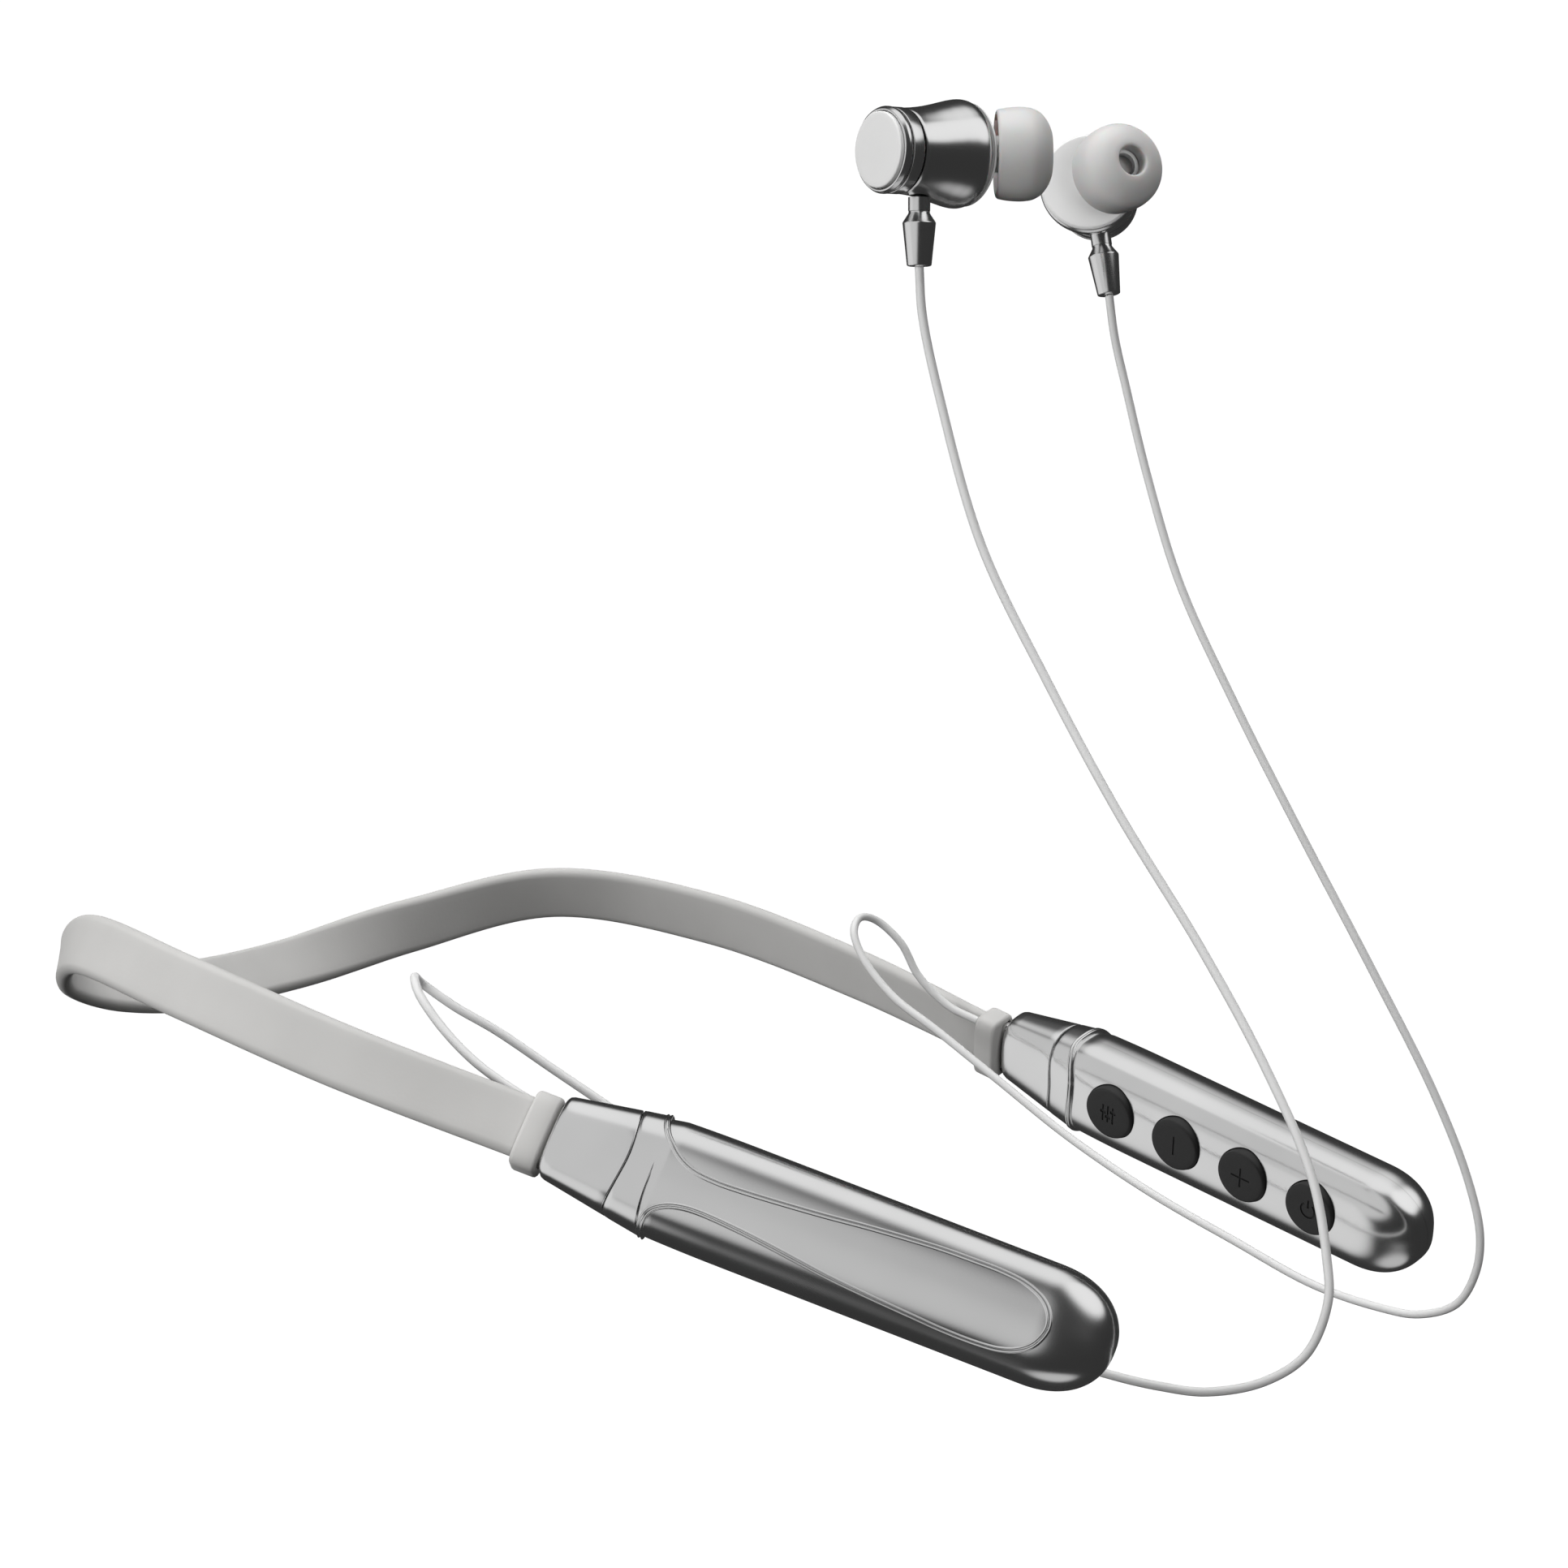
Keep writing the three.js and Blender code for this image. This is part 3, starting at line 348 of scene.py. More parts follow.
def loft(rings, closed_along=False):
    """Vertices and faces through rings with the same count; a ring of one point closes an end."""
    verts, faces, starts = [], [], []
    for ring in rings:
        starts.append(len(verts))
        verts.extend(ring)
    pairs = list(zip(range(len(rings) - 1), range(1, len(rings))))
    if closed_along:
        pairs.append((len(rings) - 1, 0))
    for a, b in pairs:
        ca, cb = len(rings[a]), len(rings[b])
        count = max(ca, cb)
        for i in range(count):
            j = (i + 1) % count
            if ca == 1:
                faces.append((starts[a], starts[b] + j, starts[b] + i))
            elif cb == 1:
                faces.append((starts[a] + i, starts[a] + j, starts[b]))
            else:
                faces.append((starts[a] + i, starts[a] + j, starts[b] + j, starts[b] + i))
    if not closed_along:
        for k, ring in ((0, rings[0]), (len(rings) - 1, rings[-1])):
            if len(ring) > 1:
                faces.append(tuple(range(starts[k], starts[k] + len(ring))))
    return verts, faces


def revolve(profile, segments=96, closed=True):
    """A solid turned about X from (x, radius) points; closed joins the last point to the first."""
    rings = []
    for x, radius in profile:
        if radius < 1e-6:
            rings.append([Vector((x, 0, 0))])
            continue
        ring = []
        for i in range(segments):
            angle = i / segments * math.tau
            ring.append(Vector((x, math.cos(angle) * radius, math.sin(angle) * radius)))
        rings.append(ring)
    return loft(rings, closed_along=closed)


def rounded(corners, radius, steps=4):
    """The (x, r) outline with its inner corners rounded by radius."""
    out = [corners[0]]
    for a, b, c in zip(corners, corners[1:], corners[2:]):
        a, b, c = (Vector((*p, 0)) for p in (a, b, c))
        reach = min(radius, (a - b).length * 0.45, (c - b).length * 0.45)
        start = b + (a - b).normalized() * reach
        end = b + (c - b).normalized() * reach
        for i in range(steps + 1):
            t = i / steps
            spot = start * (1 - t) ** 2 + b * 2 * t * (1 - t) + end * t * t
            out.append((spot.x, spot.y))
    out.append(corners[-1])
    return out


def cut(piece, tool):
    """Takes the tool's volume out of the piece, and removes the tool."""
    change = piece.modifiers.new("cut", "BOOLEAN")
    change.operation = "DIFFERENCE"
    change.solver = "EXACT"
    change.object = tool
    bake(piece)
    bpy.data.objects.remove(tool)


def bake(piece):
    """Applies the piece's modifiers."""
    bpy.context.view_layer.update()
    seen = piece.evaluated_get(bpy.context.evaluated_depsgraph_get())
    made = bpy.data.meshes.new_from_object(seen)
    old = piece.data
    piece.modifiers.clear()
    piece.data = made
    bpy.data.meshes.remove(old)


def plain_object(name, verts, faces):
    data = bpy.data.meshes.new(name)
    data.from_pydata(verts, [], faces)
    work = bmesh.new()
    work.from_mesh(data)
    bmesh.ops.recalc_face_normals(work, faces=work.faces)
    work.to_mesh(data)
    work.free()
    piece = bpy.data.objects.new(name, data)
    bpy.context.scene.collection.objects.link(piece)
    return piece


# ---- Frames of the pods and earbuds ------------------------------------------------------------

roll, pitch, yaw = (math.radians(a) for a in POD_EULER)
pod_turn = Euler((roll, pitch, yaw), "XYZ").to_matrix().to_4x4()
pod_at = BAND_END - pod_turn.to_3x3() @ Vector((COLLAR_REAR, -BAND_INSET, 0))
MIRROR = Matrix.Scale(-1, 4, Vector((0, 1, 0)))
POD = {"left": Matrix.Translation(pod_at) @ pod_turn}
POD["right"] = MIRROR @ POD["left"]

BUD, NOZZLE = {}, {}
for side, (place, heading, tilt, lean) in EARBUDS.items():
    turns = [math.radians(a) for a in (lean, -tilt, heading)]
    turn = Euler(turns, "XYZ").to_matrix().to_4x4()
    BUD[side] = Matrix.Translation(place) @ turn
    if side == "left":
        BUD[side] = BUD[side] @ MIRROR
    NOZZLE[side] = BUD[side] @ Matrix.Rotation(math.radians(-TIP_BEND), 4, "Z")

# ---- Band --------------------------------------------------------------------------------------

BAND_SHAPE = (
    ((0.018 * BAND_REACH, 0.31 * BAND_SPREAD, 1.0), (-0.61, -0.22, 0.745)),
    ((0.1 * BAND_REACH, 0.6 * BAND_SPREAD, 5.7), (-0.25, -0.49, 0.83)),
    ((0.261 * BAND_REACH, 0.84 * BAND_SPREAD, 10.1), (0.0, -0.5, 0.868)),
    ((0.488 * BAND_REACH, 0.978 * BAND_SPREAD, 5.9), (-0.02, -0.29, 0.953)),
    ((0.746 * BAND_REACH, BAND_SPREAD, -2.2), (0.16, -0.3, 0.94)),
)
NAPE_UP = Vector((-0.61, 0, 0.79))
NAPE = Vector((NAPE_UP.z, 0, -NAPE_UP.x)) * (-BAND_THICKNESS / 2)


def band_points(side):
    """Centre points and width directions of the whole band, from the far end to this side's end."""
    half = [(Vector(at), Vector(up)) for at, up in BAND_SHAPE]
    pod_up = POD["left"].to_3x3() @ Vector((0, 0, 1))
    for x in (COLLAR_REAR, BAND_END_IN_POD):
        half.append((POD["left"] @ Vector((x, -BAND_INSET, 0)), pod_up))
    if side == "right":
        half = [(MIRROR @ at, MIRROR.to_3x3() @ up) for at, up in half]
    other = [(MIRROR @ at, MIRROR.to_3x3() @ up) for at, up in half]
    whole = other[::-1] + [(NAPE, NAPE_UP)] + half
    return [p for p, _ in whole], [u for _, u in whole]


def band_outline(sides=14):
    """Half-round ends and flat faces, as (through, across) offsets."""
    radius = BAND_THICKNESS / 2
    straight = BAND_WIDTH / 2 - radius
    outline = []
    for end in (1, -1):
        for i in range(sides + 1):
            angle = i / sides * math.pi
            outline.append((end * math.cos(angle) * radius, end * (straight + math.sin(angle) * radius)))
        for i in range(1, 6):
            outline.append((-end * radius, end * straight * (1 - i / 3)))
    return outline


def make_band(side):
    centres, ups = band_points(side)
    first, last = 7.0, 14.0
    steps = 112
    outline = band_outline()
    rings = []
    for i in range(steps + 1):
        u = first + (last - first) * i / steps
        centre = centripetal(centres, u)
        along = (centripetal(centres, min(u + 0.01, last)) - centripetal(centres, u - 0.01)).normalized()
        up = uniform(ups, u)
        up = (up - along * up.dot(along)).normalized()
        out = up.cross(along)
        rings.append([centre + out * a + up * b for a, b in outline])
    verts, faces = loft(rings)
    faces = [f for f in faces if len(f) == 4]
    piece = mesh_object(f"neckband_{side}", verts, faces, "band_silicone", None)
    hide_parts("band_nape", f"band_{side}")
    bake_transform(piece)


for side in SIDES:
    make_band(side)

# ---- Pods --------------------------------------------------------------------------------------

AROUND = 144


def pod_half(x, inset=0.0):
    """Half thickness and half height of the pod's section at x."""
    if x < TAIL_LENGTH:
        share = x / TAIL_LENGTH
        half = [a + (b - a) * share for a, b in zip(TAIL_HALF, SEAM_HALF)]
    else:
        share = min(1.0, (x - TAIL_LENGTH) / (BODY_START - TAIL_LENGTH))
        half = [a + (b - a) * share for a, b in zip(SEAM_HALF, BODY_HALF)]
    start = POD_LENGTH - NOSE_LENGTH
    fit = 1.0
    if x > start:
        share = min(1.0, (x - start) / (NOSE_LENGTH - inset))
        fit = (1 - share**NOSE_POWER) ** (1 / NOSE_POWER)
    return (half[0] - inset) * fit, (half[1] - inset) * fit


def section(angle, a, b, power=SECTION_POWER):
    across, up = math.cos(angle), math.sin(angle)
    reach = (abs(across / a) ** power + abs(up / b) ** power) ** (-1 / power)
    return across * reach, up * reach


def pod_ring(x_at, inset=0.0):
    """A ring round the pod; x_at is a number or a function of the angle."""
    ring = []
    for i in range(AROUND):
        angle = i / AROUND * math.tau
        x = x_at(angle) if callable(x_at) else x_at
        y, z = section(angle, *pod_half(x, inset))
        ring.append(Vector((x, y, z)))
    return ring


def slot_ring(x, half_y, half_z, power=6.0):
    ring = []
    for i in range(AROUND):
        y, z = section(i / AROUND * math.tau, half_y, half_z, power)
        ring.append(Vector((x, y - BAND_INSET, z)))
    return ring


def seam(angle):
    """Where the tail cap ends: a line that bows forward on both faces."""
    return 9.45 + 1.3 * abs(math.cos(angle)) ** 1.6


def ring_line(angle):
    """Where the neck ring ends on the inner face, and near enough on the outer."""
    up = math.sin(angle)
    if math.cos(angle) < 0:
        return 14.9 - 1.6 * max(0.0, up) ** 3 - 0.5 * max(0.0, -up) ** 3
    return 14.2 - 0.9 * max(0.0, up) ** 3 + 0.3 * max(0.0, -up) ** 3


def make_tail_cap(side):
    rings = [slot_ring(2.2, 1.45, 4.5), slot_ring(0.25, 1.45, 4.5), slot_ring(0.05, 1.6, 4.65)]
    rings += [pod_ring(0.02, 0.75), pod_ring(0.12, 0.35), pod_ring(0.35, 0.1), pod_ring(0.8, 0.0)]
    rings += [pod_ring(lambda a, k=k: 0.8 + (seam(a) - 1.0) * k / 8, 0.0) for k in range(1, 9)]
    rings += [
        pod_ring(lambda a: seam(a) - 0.1, 0.02),
        pod_ring(lambda a: seam(a) - 0.03, 0.12),
        pod_ring(lambda a: seam(a), 0.35),
        pod_ring(lambda a: seam(a), POD_WALL),
        pod_ring(2.2, POD_WALL),
    ]
    verts, faces = loft(rings, closed_along=True)
    name = f"tail_cap_skin_{side}"
    mesh_object(name, verts, faces, "bright_shell", f"{side}_arm", [f"tail_cap_{side}"], POD[side], 60)


def make_neck_ring(side):
    rings = [
        pod_ring(lambda a: seam(a) + 0.07, POD_WALL),
        pod_ring(lambda a: seam(a) + 0.07, 0.35),
        pod_ring(lambda a: seam(a) + 0.1, 0.1),
        pod_ring(lambda a: seam(a) + 0.2, 0.0),
    ]
    for k in range(1, 9):
        rings.append(
            pod_ring(lambda a, k=k: seam(a) + 0.2 + (ring_line(a) - seam(a) - 0.2) * k / 8, -0.03)
        )
    rings += [
        pod_ring(lambda a: ring_line(a) + 0.1, 0.3),
        pod_ring(lambda a: ring_line(a) + 0.1, POD_WALL),
    ]
    verts, faces = loft(rings, closed_along=True)
    name = f"neck_ring_skin_{side}"
    mesh_object(name, verts, faces, "bright_shell", f"{side}_arm", [f"neck_ring_{side}"], POD[side], 60)


SHELL_INSET = 0.14
SHELL_START = 13.0


def make_shell(side, half):
    """The main body's outer or inner half, a thin shell split along the pod's edges."""
    start = POD_LENGTH - NOSE_LENGTH
    along = [SHELL_START + (start - SHELL_START) * i / 60 for i in range(61)]
    rings = [pod_ring(x, SHELL_INSET + 0.24 * max(0.0, (25.0 - x) / 12.0) ** 2) for x in along]
    for i in range(1, 26):
        x = start + math.sin(i / 26 * math.pi / 2) * (NOSE_LENGTH - SHELL_INSET)
        rings.append(pod_ring(x, SHELL_INSET))
    rings.append([Vector((POD_LENGTH - SHELL_INSET, 0, 0))])
    verts, faces = loft(rings)
    faces = [f for f in faces if len(f) <= 4]
    name = f"{half}_shell_skin_{side}"
    piece = mesh_object(name, verts, faces, "bright_shell", None)
    sign = 1 if half == "outer" else -1
    work = bmesh.new()
    work.from_mesh(piece.data)
    bmesh.ops.bisect_plane(
        work,
        geom=work.verts[:] + work.edges[:] + work.faces[:],
        plane_co=(0, sign * 0.02 * MM, 0),
        plane_no=(0, sign, 0),
        clear_inner=True,
    )
    work.to_mesh(piece.data)
    work.free()
    thick = piece.modifiers.new("wall", "SOLIDIFY")
    thick.thickness = POD_WALL * MM
    thick.offset = -1
    thick.use_even_offset = False
    bake(piece)
    if side == "left":
        if half == "inner":
            for order in range(len(BUTTONS)):
                verts, faces = revolve(
                    [(-9.0, 0), (-9.0, BUTTON_RADIUS + 0.16), (-2.0, BUTTON_RADIUS + 0.16), (-2.0, 0)],
                    96,
                    closed=False,
                )
                turn = Matrix.Rotation(math.radians(90), 4, "Z")
                shift = Matrix.Translation((BUTTON_FIRST + order * BUTTON_PITCH, 0, BUTTON_RISE))
                cut(piece, plain_object("tool", [(shift @ turn @ v) * MM for v in verts], faces))
        outline = [section(i / 48 * math.tau, 4.75, 1.9, 4.0) for i in range(48)]
        mouth = [[Vector((58.5 + x, y, z)) * MM for x, y in outline] for z in (-9.5, -5.0)]
        cut(piece, plain_object("tool", *loft(mouth)))
    piece.data.transform(Matrix.Scale(MM, 4) @ POD[side] @ Matrix.Scale(1 / MM, 4))
    if side == "right":
        piece.data.flip_normals()
    piece.data.shade_smooth()
    set_sharp(piece, 35)
    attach(piece, f"{side}_arm")
    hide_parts(f"{half}_shell_{side}")


TONGUE_UPPER = (
    (13.4, 6.0), (14.2, 4.4), (15.7, 2.8), (17.3, 1.6), (19.4, 0.8), (22.5, 0.5), (25.9, 0.6),
    (31.4, 1.0), (36.9, 1.5), (42.3, 2.1), (47.8, 2.6), (52.0, 2.9), (56.1, 3.0), (60.0, 3.0),
    (63.2, 2.6), (65.6, 1.6), (67.0, 0.2), (67.6, -1.7),
)
TONGUE_LOWER = (
    (15.2, -7.0), (15.9, -5.6), (17.6, -4.5), (19.7, -3.95), (21.9, -3.8), (26.3, -4.0),
    (30.8, -4.4), (35.2, -4.9), (39.7, -5.4), (45.5, -5.8), (51.3, -6.1), (55.6, -6.3),
    (59.8, -6.3), (62.8, -6.05), (65.1, -5.35), (66.8, -4.0), (67.6, -1.7),
)
INNER_LINE = (
    (14.9, -7.7), (14.6, -6.9), (14.6, -5.0), (14.9, -2.0), (15.1, 1.0), (14.9, 3.5), (14.2, 5.4),
    (13.5, 6.7), (13.0, 7.35),
)


def on_pod(x, y, z, inset=0.0):
    """The point moved onto the pod's surface within its section."""
    a, b = pod_half(x, inset)
    reach = (abs(y / a) ** SECTION_POWER + abs(z / b) ** SECTION_POWER) ** (1 / SECTION_POWER)
    return Vector((x, y / reach, z / reach))


def face_point(x, z, sign, inset=0.0):
    """The surface point at x and z, on the outer face for sign 1 or the inner for -1."""
    a, b = pod_half(x, inset)
    share = min(1.0, abs(z) / b)
    return Vector((x, sign * a * max(0.0, 1 - share**SECTION_POWER) ** (1 / SECTION_POWER), z))


def pod_normal(spot):
    """Outward direction of the pod's surface at a point on it."""
    step = 0.02

    def level(p):
        a, b = pod_half(p.x)
        return abs(p.y / a) ** SECTION_POWER + abs(p.z / b) ** SECTION_POWER

    slope = [
        level(spot + axis * step) - level(spot - axis * step)
        for axis in (Vector((1, 0, 0)), Vector((0, 1, 0)), Vector((0, 0, 1)))
    ]
    return Vector(slope).normalized()


def bead_loop():
    """The closed line round the neck ring and the tongue, on the pod's surface."""
    points = [face_point(x, z, 1) for x, z in TONGUE_UPPER]
    points += [face_point(x, z, 1) for x, z in TONGUE_LOWER[-2::-1]]
    points += [face_point(x, z, -1) for x, z in INNER_LINE]
    count = len(points)
    wrapped = points[-3:] + points + points[:4]
    line = []
    for i in range(count):
        span = (points[(i + 1) % count] - points[i]).length
        steps = max(3, round(span / 0.35))
        for k in range(steps):
            spot = centripetal(wrapped, i + 3 + k / steps)
            line.append(on_pod(*spot))
    return line


BEAD = (
    (-0.55, -0.35), (-0.52, -0.08), (-0.46, 0.08), (-0.36, 0.17), (-0.25, 0.19), (-0.14, 0.12),
    (-0.07, 0.0), (-0.02, -0.08), (0.02, -0.08), (0.07, 0.0), (0.14, 0.12), (0.25, 0.19),
    (0.36, 0.17), (0.46, 0.08), (0.52, -0.08), (0.55, -0.35),
)


def make_bead(side):
    line = bead_loop()
    count = len(line)
    rings = []
    for i, spot in enumerate(line):
        along = (line[(i + 1) % count] - line[i - 1]).normalized()
        normal = pod_normal(spot)
        across = along.cross(normal).normalized()
        rings.append([spot + across * a * 0.85 + normal * h for a, h in BEAD])
    verts, faces = loft(rings, closed_along=True)
    name = f"bead_line_{side}"
    mesh_object(name, verts, faces, "bright_shell", f"{side}_arm", [f"bead_ring_{side}"], POD[side], 60)


def make_tongue(side):
    """The tongue: a thin plate over the outer face, inside the bead line."""
    upper = [Vector((x, z, 0)) for x, z in TONGUE_UPPER]
    lower = [Vector((x, z, 0)) for x, z in TONGUE_LOWER]
    rows, across = 120, 24
    top, bottom = [], []
    for i in range(rows + 1):
        share = i / rows
        a = centripetal(upper, share * (len(upper) - 1))
        b = centripetal(lower, share * (len(lower) - 1))
        for k in range(across + 1):
            t = k / across
            x, z = a.x + (b.x - a.x) * t, a.y + (b.y - a.y) * t
            spot = face_point(x, z, 1)
            normal = pod_normal(spot)
            top.append(spot + normal * 0.05)
            bottom.append(spot - normal * 0.4)
    width = across + 1
    offset = len(top)
    faces = []
    for i in range(rows):
        for k in range(across):
            a, b = i * width + k, i * width + k + 1
            c, d = a + width, b + width
            faces.append((a, b, d, c))
            faces.append((a + offset, c + offset, d + offset, b + offset))
    rim = list(range(width))
    rim += [i * width + across for i in range(1, rows + 1)]
    rim += [rows * width + k for k in range(across - 1, -1, -1)]
    rim += [i * width for i in range(rows - 1, 0, -1)]
    for a, b in zip(rim, rim[1:] + rim[:1]):
        faces.append((a, b, b + offset, a + offset))
    name = f"tongue_plate_{side}"
    mesh_object(
        name, top + bottom, faces, "bright_shell", f"{side}_arm", [f"outer_trim_{side}"], POD[side], 60
    )


def make_collar(side):
    """The soft collar: a rounded sleeve with the band's slot through it."""
    inner = -BAND_INSET - BAND_THICKNESS / 2 - 2.4
    outer = -BAND_INSET + BAND_THICKNESS / 2 + 0.9
    mid, half_y = (inner + outer) / 2, (outer - inner) / 2

    def ring(x, shrink):
        out = []
        for i in range(AROUND):
            y, z = section(i / AROUND * math.tau, half_y - shrink, 5.2 - shrink, 4.6)
            out.append(Vector((x, y + mid, z)))
        return out

    rear, front = COLLAR_REAR, COLLAR_FRONT
    rings = [slot_ring(front, 1.3, 4.35, 5.0), slot_ring(rear, 1.3, 4.35, 5.0)]
    rings += [ring(rear, 0.6), ring(rear + 0.08, 0.3), ring(rear + 0.3, 0.08), ring(rear + 0.6, 0.0)]
    rings += [ring(front - 0.6, 0.0), ring(front - 0.3, 0.08), ring(front - 0.08, 0.3), ring(front, 0.6)]
    verts, faces = loft(rings, closed_along=True)
    name = f"collar_skin_{side}"
    mesh_object(name, verts, faces, "band_silicone", f"{side}_arm", [f"collar_{side}"], POD[side], 60)


for side in SIDES:
    make_tail_cap(side)
    make_neck_ring(side)
    make_shell(side, "outer")
    make_shell(side, "inner")
    make_bead(side)
    make_tongue(side)
    make_collar(side)

# ---- Buttons -----------------------------------------------------------------------------------

STROKE = 0.3


def bar_stroke(u0, v0, u1, v1, width=STROKE):
    """A straight stroke's outline between two points of a button's face."""
    a, b = Vector((u0, v0)), Vector((u1, v1))
    along = (b - a).normalized() * width / 2
    side = Vector((-along.y, along.x))
    return [a - along - side, b + along - side, b + along + side, a - along + side]


def arc_stroke(radius, start, end, width=STROKE, steps=28):
    """A curved stroke's outline between two angles in degrees."""
    out = []
    for r, order in ((radius + width / 2, 1), (radius - width / 2, -1)):
        turns = [math.radians(start + (end - start) * i / steps) for i in range(steps + 1)]
        out += [Vector((math.cos(t) * r, math.sin(t) * r)) for t in turns[::order]]
    return out


ICONS = {
    "button_mode": [
        bar_stroke(-0.9, -1.3, -0.9, 1.3),
        bar_stroke(0.0, -1.3, 0.0, 1.3),
        bar_stroke(0.9, -1.3, 0.9, 1.3),
        bar_stroke(-1.15, 0.55, -0.65, 0.55, 0.5),
        bar_stroke(-0.25, -0.55, 0.25, -0.55, 0.5),
        bar_stroke(0.65, 0.15, 1.15, 0.15, 0.5),
    ],
    "button_volume_down": [bar_stroke(0.0, -1.5, 0.0, 1.5)],
    "button_volume_up": [bar_stroke(0.0, -1.5, 0.0, 1.5), bar_stroke(-1.5, 0.0, 1.5, 0.0)],
    "button_power": [arc_stroke(1.2, 125, 415), bar_stroke(0.0, 0.5, 0.0, 1.6)],
}


BUTTON_FACE = 6.8
PLUNGER_START = 3.57
PLUNGER_RADIUS = 1.1
CAP_START = 4.4
MARK_DEPTH = 0.14
MARK_REACH = 2.6


def make_button(order, name):
    """One rubber button: a cap with a sunk mark, on the plunger that presses its switch."""
    face = BUTTON_FACE
    profile = [(PLUNGER_START, 0), (PLUNGER_START, PLUNGER_RADIUS), (CAP_START, PLUNGER_RADIUS)]
    cap = [(CAP_START, PLUNGER_RADIUS), (CAP_START, BUTTON_RADIUS)]
    cap += [(face - 0.06, BUTTON_RADIUS), (face, 3.2)]
    profile += rounded(cap, 0.35)[1:]
    profile.append((face, 0))
    verts, faces = revolve(profile, 96, closed=False)
    turn = Matrix.Rotation(math.radians(-90), 4, "Z")
    shift = Matrix.Translation((BUTTON_FIRST + order * BUTTON_PITCH, 0, BUTTON_RISE))
    at = POD["left"] @ shift @ turn
    piece = mesh_object(f"{name}_cap", verts, faces, "button_rubber", None, smooth=50)
    for stroke in ICONS[name]:
        ends = (face - MARK_DEPTH, face + 0.4)
        solid = [[Vector((x, -p.x, p.y)) * MM for p in stroke] for x in ends]
        cut(piece, plain_object("tool", *loft(solid)))
    # The floors and walls of the sunk marks get the near-black look: painted shade in the grooves.
    piece.data.materials.append(LOOKS["mark_groove_shade"])
    for polygon in piece.data.polygons:
        middle = polygon.center
        inside = math.hypot(middle.y, middle.z) < MARK_REACH * MM
        if inside and (face - 0.2) * MM < middle.x < (face - 0.03) * MM:
            polygon.material_index = 1
    piece.data.transform(Matrix.Scale(MM, 4) @ at @ Matrix.Scale(1 / MM, 4))
    piece.data.shade_smooth()
    set_sharp(piece, 35)
    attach(piece, name)
    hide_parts(name)


for order, name in enumerate(BUTTONS):
    make_button(order, name)

# ---- Earbuds -----------------------------------------------------------------------------------


BULB_LINE = (
    (-9.0, 5.6), (-7.56, 5.71), (-5.58, 5.99), (-3.6, 6.41), (-2.16, 6.76),
    (-0.9, 7.04), (0.0, 7.14), (0.55, 7.06), (0.95, 6.8),
)


def bulb_profile():
    """The bulb's outside as (x, r) points, smooth from its waist to its front edge."""
    line = [Vector((x, r, 0)) for x, r in BULB_LINE]
    steps = (len(line) - 1) * 6
    points = [centripetal(line, i / 6) for i in range(steps + 1)]
    skin = [(p.x, p.y) for p in points]
    return [(-8.96, 4.8), (-8.96, 5.52)] + skin[1:] + [(0.98, 6.6), (0.98, 5.9)]


def bud_piece(name, side, profile, look, node, at, body=None, closed=True, smooth=30):
    verts, faces = revolve(profile, 96, closed)
    mesh_object(f"{name}_{side}", verts, faces, look, body or f"earbud_{side}", [node], at, smooth)


DOWN = Matrix.Translation((-STEM_AT, 0, 0)) @ Matrix.Rotation(math.radians(90), 4, "Y")

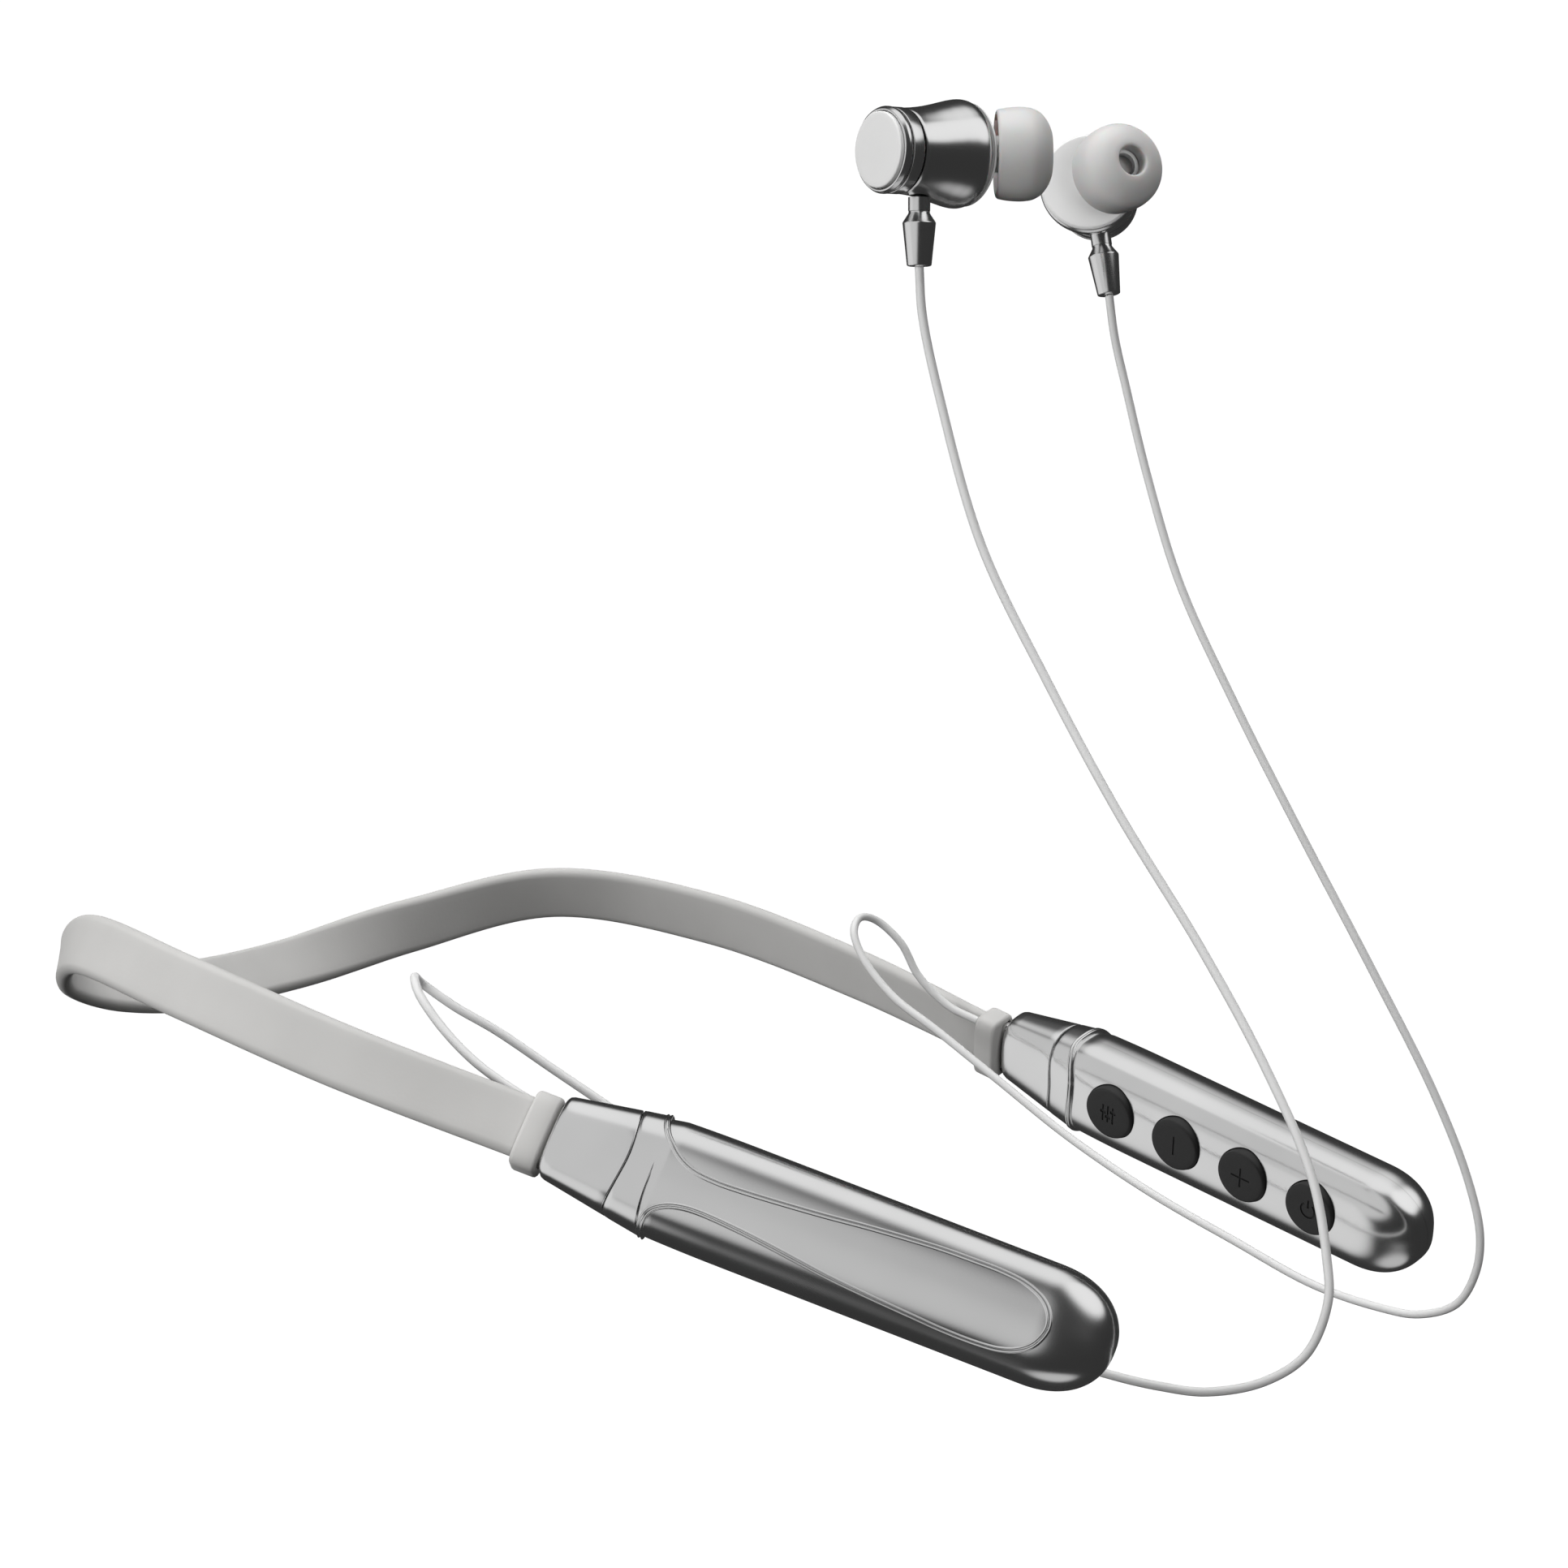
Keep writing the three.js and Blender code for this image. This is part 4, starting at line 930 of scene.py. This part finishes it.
for side in SIDES:
    at, tip = BUD[side], NOZZLE[side]
    bulb = bulb_profile()
    inside = [(x, r - 0.9) for x, r in reversed(bulb[2:-2])]
    bulb += inside
    bud_piece("front_housing_skin", side, bulb, "bright_shell", f"front_housing_{side}", at, smooth=40)
    barrel = rounded([(-9.3, 4.9), (-9.3, 5.65), (-11.0, 5.65), (-11.0, 4.9)], 0.14)
    bud_piece("rear_housing_skin", side, barrel, "bright_shell", f"rear_housing_{side}", at)
    bevel = [(-11.3, 5.3), (-11.3, 5.7), (-11.75, 5.7), (-12.3, 5.4), (-12.3, 5.12), (-11.8, 5.12)]
    bevel = rounded(bevel, 0.15)
    bud_piece("bevel_ring_skin", side, bevel, "bright_shell", f"bevel_ring_{side}", at)
    cap = [(-11.4, 0)] + rounded([(-11.4, 4.98), (-12.78, 4.98), (-12.8, 4.2)], 0.25) + [(-12.8, 0)]
    bud_piece("end_cap_skin", side, cap, "pale_plastic", f"end_cap_{side}", at, closed=False)
    plate = [(1.3, 0)] + rounded([(1.3, 6.84), (1.6, 6.84), (1.88, 6.5), (1.9, 5.8)], 0.12) + [(1.9, 0)]
    bud_piece("front_plate_skin", side, plate, "pale_plastic", f"front_plate_{side}", at, closed=False)
    tube = rounded([(1.0, 1.7), (1.0, 2.38), (10.1, 2.38), (10.1, 1.7)], 0.2)
    bud_piece("nozzle_skin", side, tube, "pale_plastic", f"front_plate_{side}", tip)
    soft = rounded(
        [
            (5.32, 5.2), (5.3, 5.6), (5.55, 5.86), (6.95, 6.12), (8.6, 6.2), (10.1, 6.03), (11.25, 5.4),
            (12.2, 4.15), (12.66, 2.9), (12.7, 2.1), (10.4, 2.1), (10.4, 2.7), (5.9, 2.7), (5.9, 3.35),
            (10.6, 3.4), (10.2, 5.1), (8.3, 5.5), (5.32, 5.2),
        ],
        0.6,
        5,
    )
    worn = f"ear_tip_{side}"
    bud_piece("ear_tip_skin", side, soft, "tip_silicone", worn, tip, worn, smooth=60)
    post = [(5.9, 0), (5.9, 1.45), (7.68, 1.45), (7.7, 1.3), (7.7, 0)]
    bud_piece("stem_skin", side, post, "bright_shell", f"stem_{side}", at @ DOWN, closed=False)
    boot = [(7.72, 0), (7.72, 1.4)]
    boot += rounded([(8.0, 1.42), (9.2, 2.2), (14.8, 1.62), (14.9, 1.3)], 0.12) + [(14.9, 0)]
    bud_piece("ferrule_skin", side, boot, "bright_shell", f"ferrule_{side}", at @ DOWN, closed=False)

# ---- Studio ------------------------------------------------------------------------------------

white = bpy.data.materials.new("backdrop_white")
white.use_nodes = True
paint = white.node_tree.nodes["Principled BSDF"]
paint.inputs["Base Color"].default_value = (0.9, 0.9, 0.9, 1.0)
paint.inputs["Roughness"].default_value = 1.0
paint.inputs["Emission Color"].default_value = (1.0, 1.0, 1.0, 1.0)
paint.inputs["Emission Strength"].default_value = 1.0


def backdrop(name, data):
    """A white studio surface that only the camera sees."""
    piece = bpy.data.objects.new(name, data)
    data.materials.append(white)
    bpy.context.scene.collection.objects.link(piece)
    piece.visible_diffuse = False
    piece.visible_glossy = False
    piece.visible_transmission = False
    piece.visible_shadow = False


# The dome has to be inside the camera's far clip, or the background turns black.
DOME_RADIUS = 6.0
FLOOR_EDGE = 5.9
FLOOR_LEVEL = -0.42

edge, level = FLOOR_EDGE, FLOOR_LEVEL
floor_data = bpy.data.meshes.new("floor")
floor_data.from_pydata(
    [(-edge, -edge, level), (edge, -edge, level), (edge, edge, level), (-edge, edge, level)],
    [],
    [(0, 1, 2, 3)],
)
backdrop("floor", floor_data)

dome_data = bpy.data.meshes.new("dome")
dome = bmesh.new()
bmesh.ops.create_icosphere(dome, subdivisions=4, radius=DOME_RADIUS)
dome.to_mesh(dome_data)
dome.free()
backdrop("dome", dome_data)

# The world holds the soft boxes that the bright metal reflects.
world = bpy.data.worlds.new("studio")
world.use_nodes = True
bpy.context.scene.world = world
world.cycles_visibility.diffuse = False
world.cycles_visibility.camera = False
tree = world.node_tree
heading = tree.nodes.new("ShaderNodeTexCoord")


def soft_box(azimuth, elevation, inner, outer, value):
    """A round pale patch of the world: its direction and two radii in degrees, and its brightness."""
    flat = math.cos(math.radians(elevation))
    turn = math.radians(azimuth)
    along = tree.nodes.new("ShaderNodeVectorMath")
    along.operation = "DOT_PRODUCT"
    along.inputs[1].default_value = (
        math.cos(turn) * flat, math.sin(turn) * flat, math.sin(math.radians(elevation))
    )
    edge_fade = tree.nodes.new("ShaderNodeMapRange")
    edge_fade.interpolation_type = "SMOOTHSTEP"
    edge_fade.inputs["From Min"].default_value = math.cos(math.radians(outer))
    edge_fade.inputs["From Max"].default_value = math.cos(math.radians(inner))
    edge_fade.inputs["To Max"].default_value = value
    tree.links.new(heading.outputs["Generated"], along.inputs[0])
    tree.links.new(along.outputs["Value"], edge_fade.inputs["Value"])
    return edge_fade.outputs["Result"]


BASE_GLOW = 0.035
boxes = [
    soft_box(0, 90, 18, 36, 0.88),
    soft_box(-120, 22, 40, 56, 0.62),
    soft_box(-158, -20, 26, 42, 0.74),
    soft_box(0, 45, 20, 32, 0.95),
    soft_box(0, -90, 12, 28, 0.55),
]
brightest = boxes[0]
for box in boxes[1:]:
    larger = tree.nodes.new("ShaderNodeMath")
    larger.operation = "MAXIMUM"
    tree.links.new(brightest, larger.inputs[0])
    tree.links.new(box, larger.inputs[1])
    brightest = larger.outputs["Value"]
dim = tree.nodes.new("ShaderNodeMath")
dim.operation = "MAXIMUM"
dim.inputs[1].default_value = BASE_GLOW
tree.links.new(brightest, dim.inputs[0])
tree.links.new(dim.outputs["Value"], tree.nodes["Background"].inputs["Color"])


def soft_lamp(name, place, target, size, power):
    """A round lamp in metres and watts that no reflection shows."""
    data = bpy.data.lights.new(name, "AREA")
    data.shape = "DISK"
    data.size = size
    data.energy = power
    lamp = bpy.data.objects.new(name, data)
    lamp.location = place
    lamp.rotation_euler = (Vector(target) - Vector(place)).to_track_quat("-Z", "Y").to_euler()
    lamp.visible_glossy = False
    lamp.visible_camera = False
    bpy.context.scene.collection.objects.link(lamp)


soft_lamp("overhead", (0.1, 0.0, 1.6), (0.1, 0, 0), 1.8, 30.0)
soft_lamp("left_box", (-0.95, -1.3, 0.3), (0.1, 0, 0), 1.0, 21.0)
soft_lamp("right_box", (1.25, -1.15, 0.2), (0.1, 0, 0), 1.0, 8.6)
soft_lamp("rear_box", (0.3, 1.5, 0.6), (0.1, 0, 0), 1.0, 10.0)

bpy.context.scene.view_settings.view_transform = "Standard"
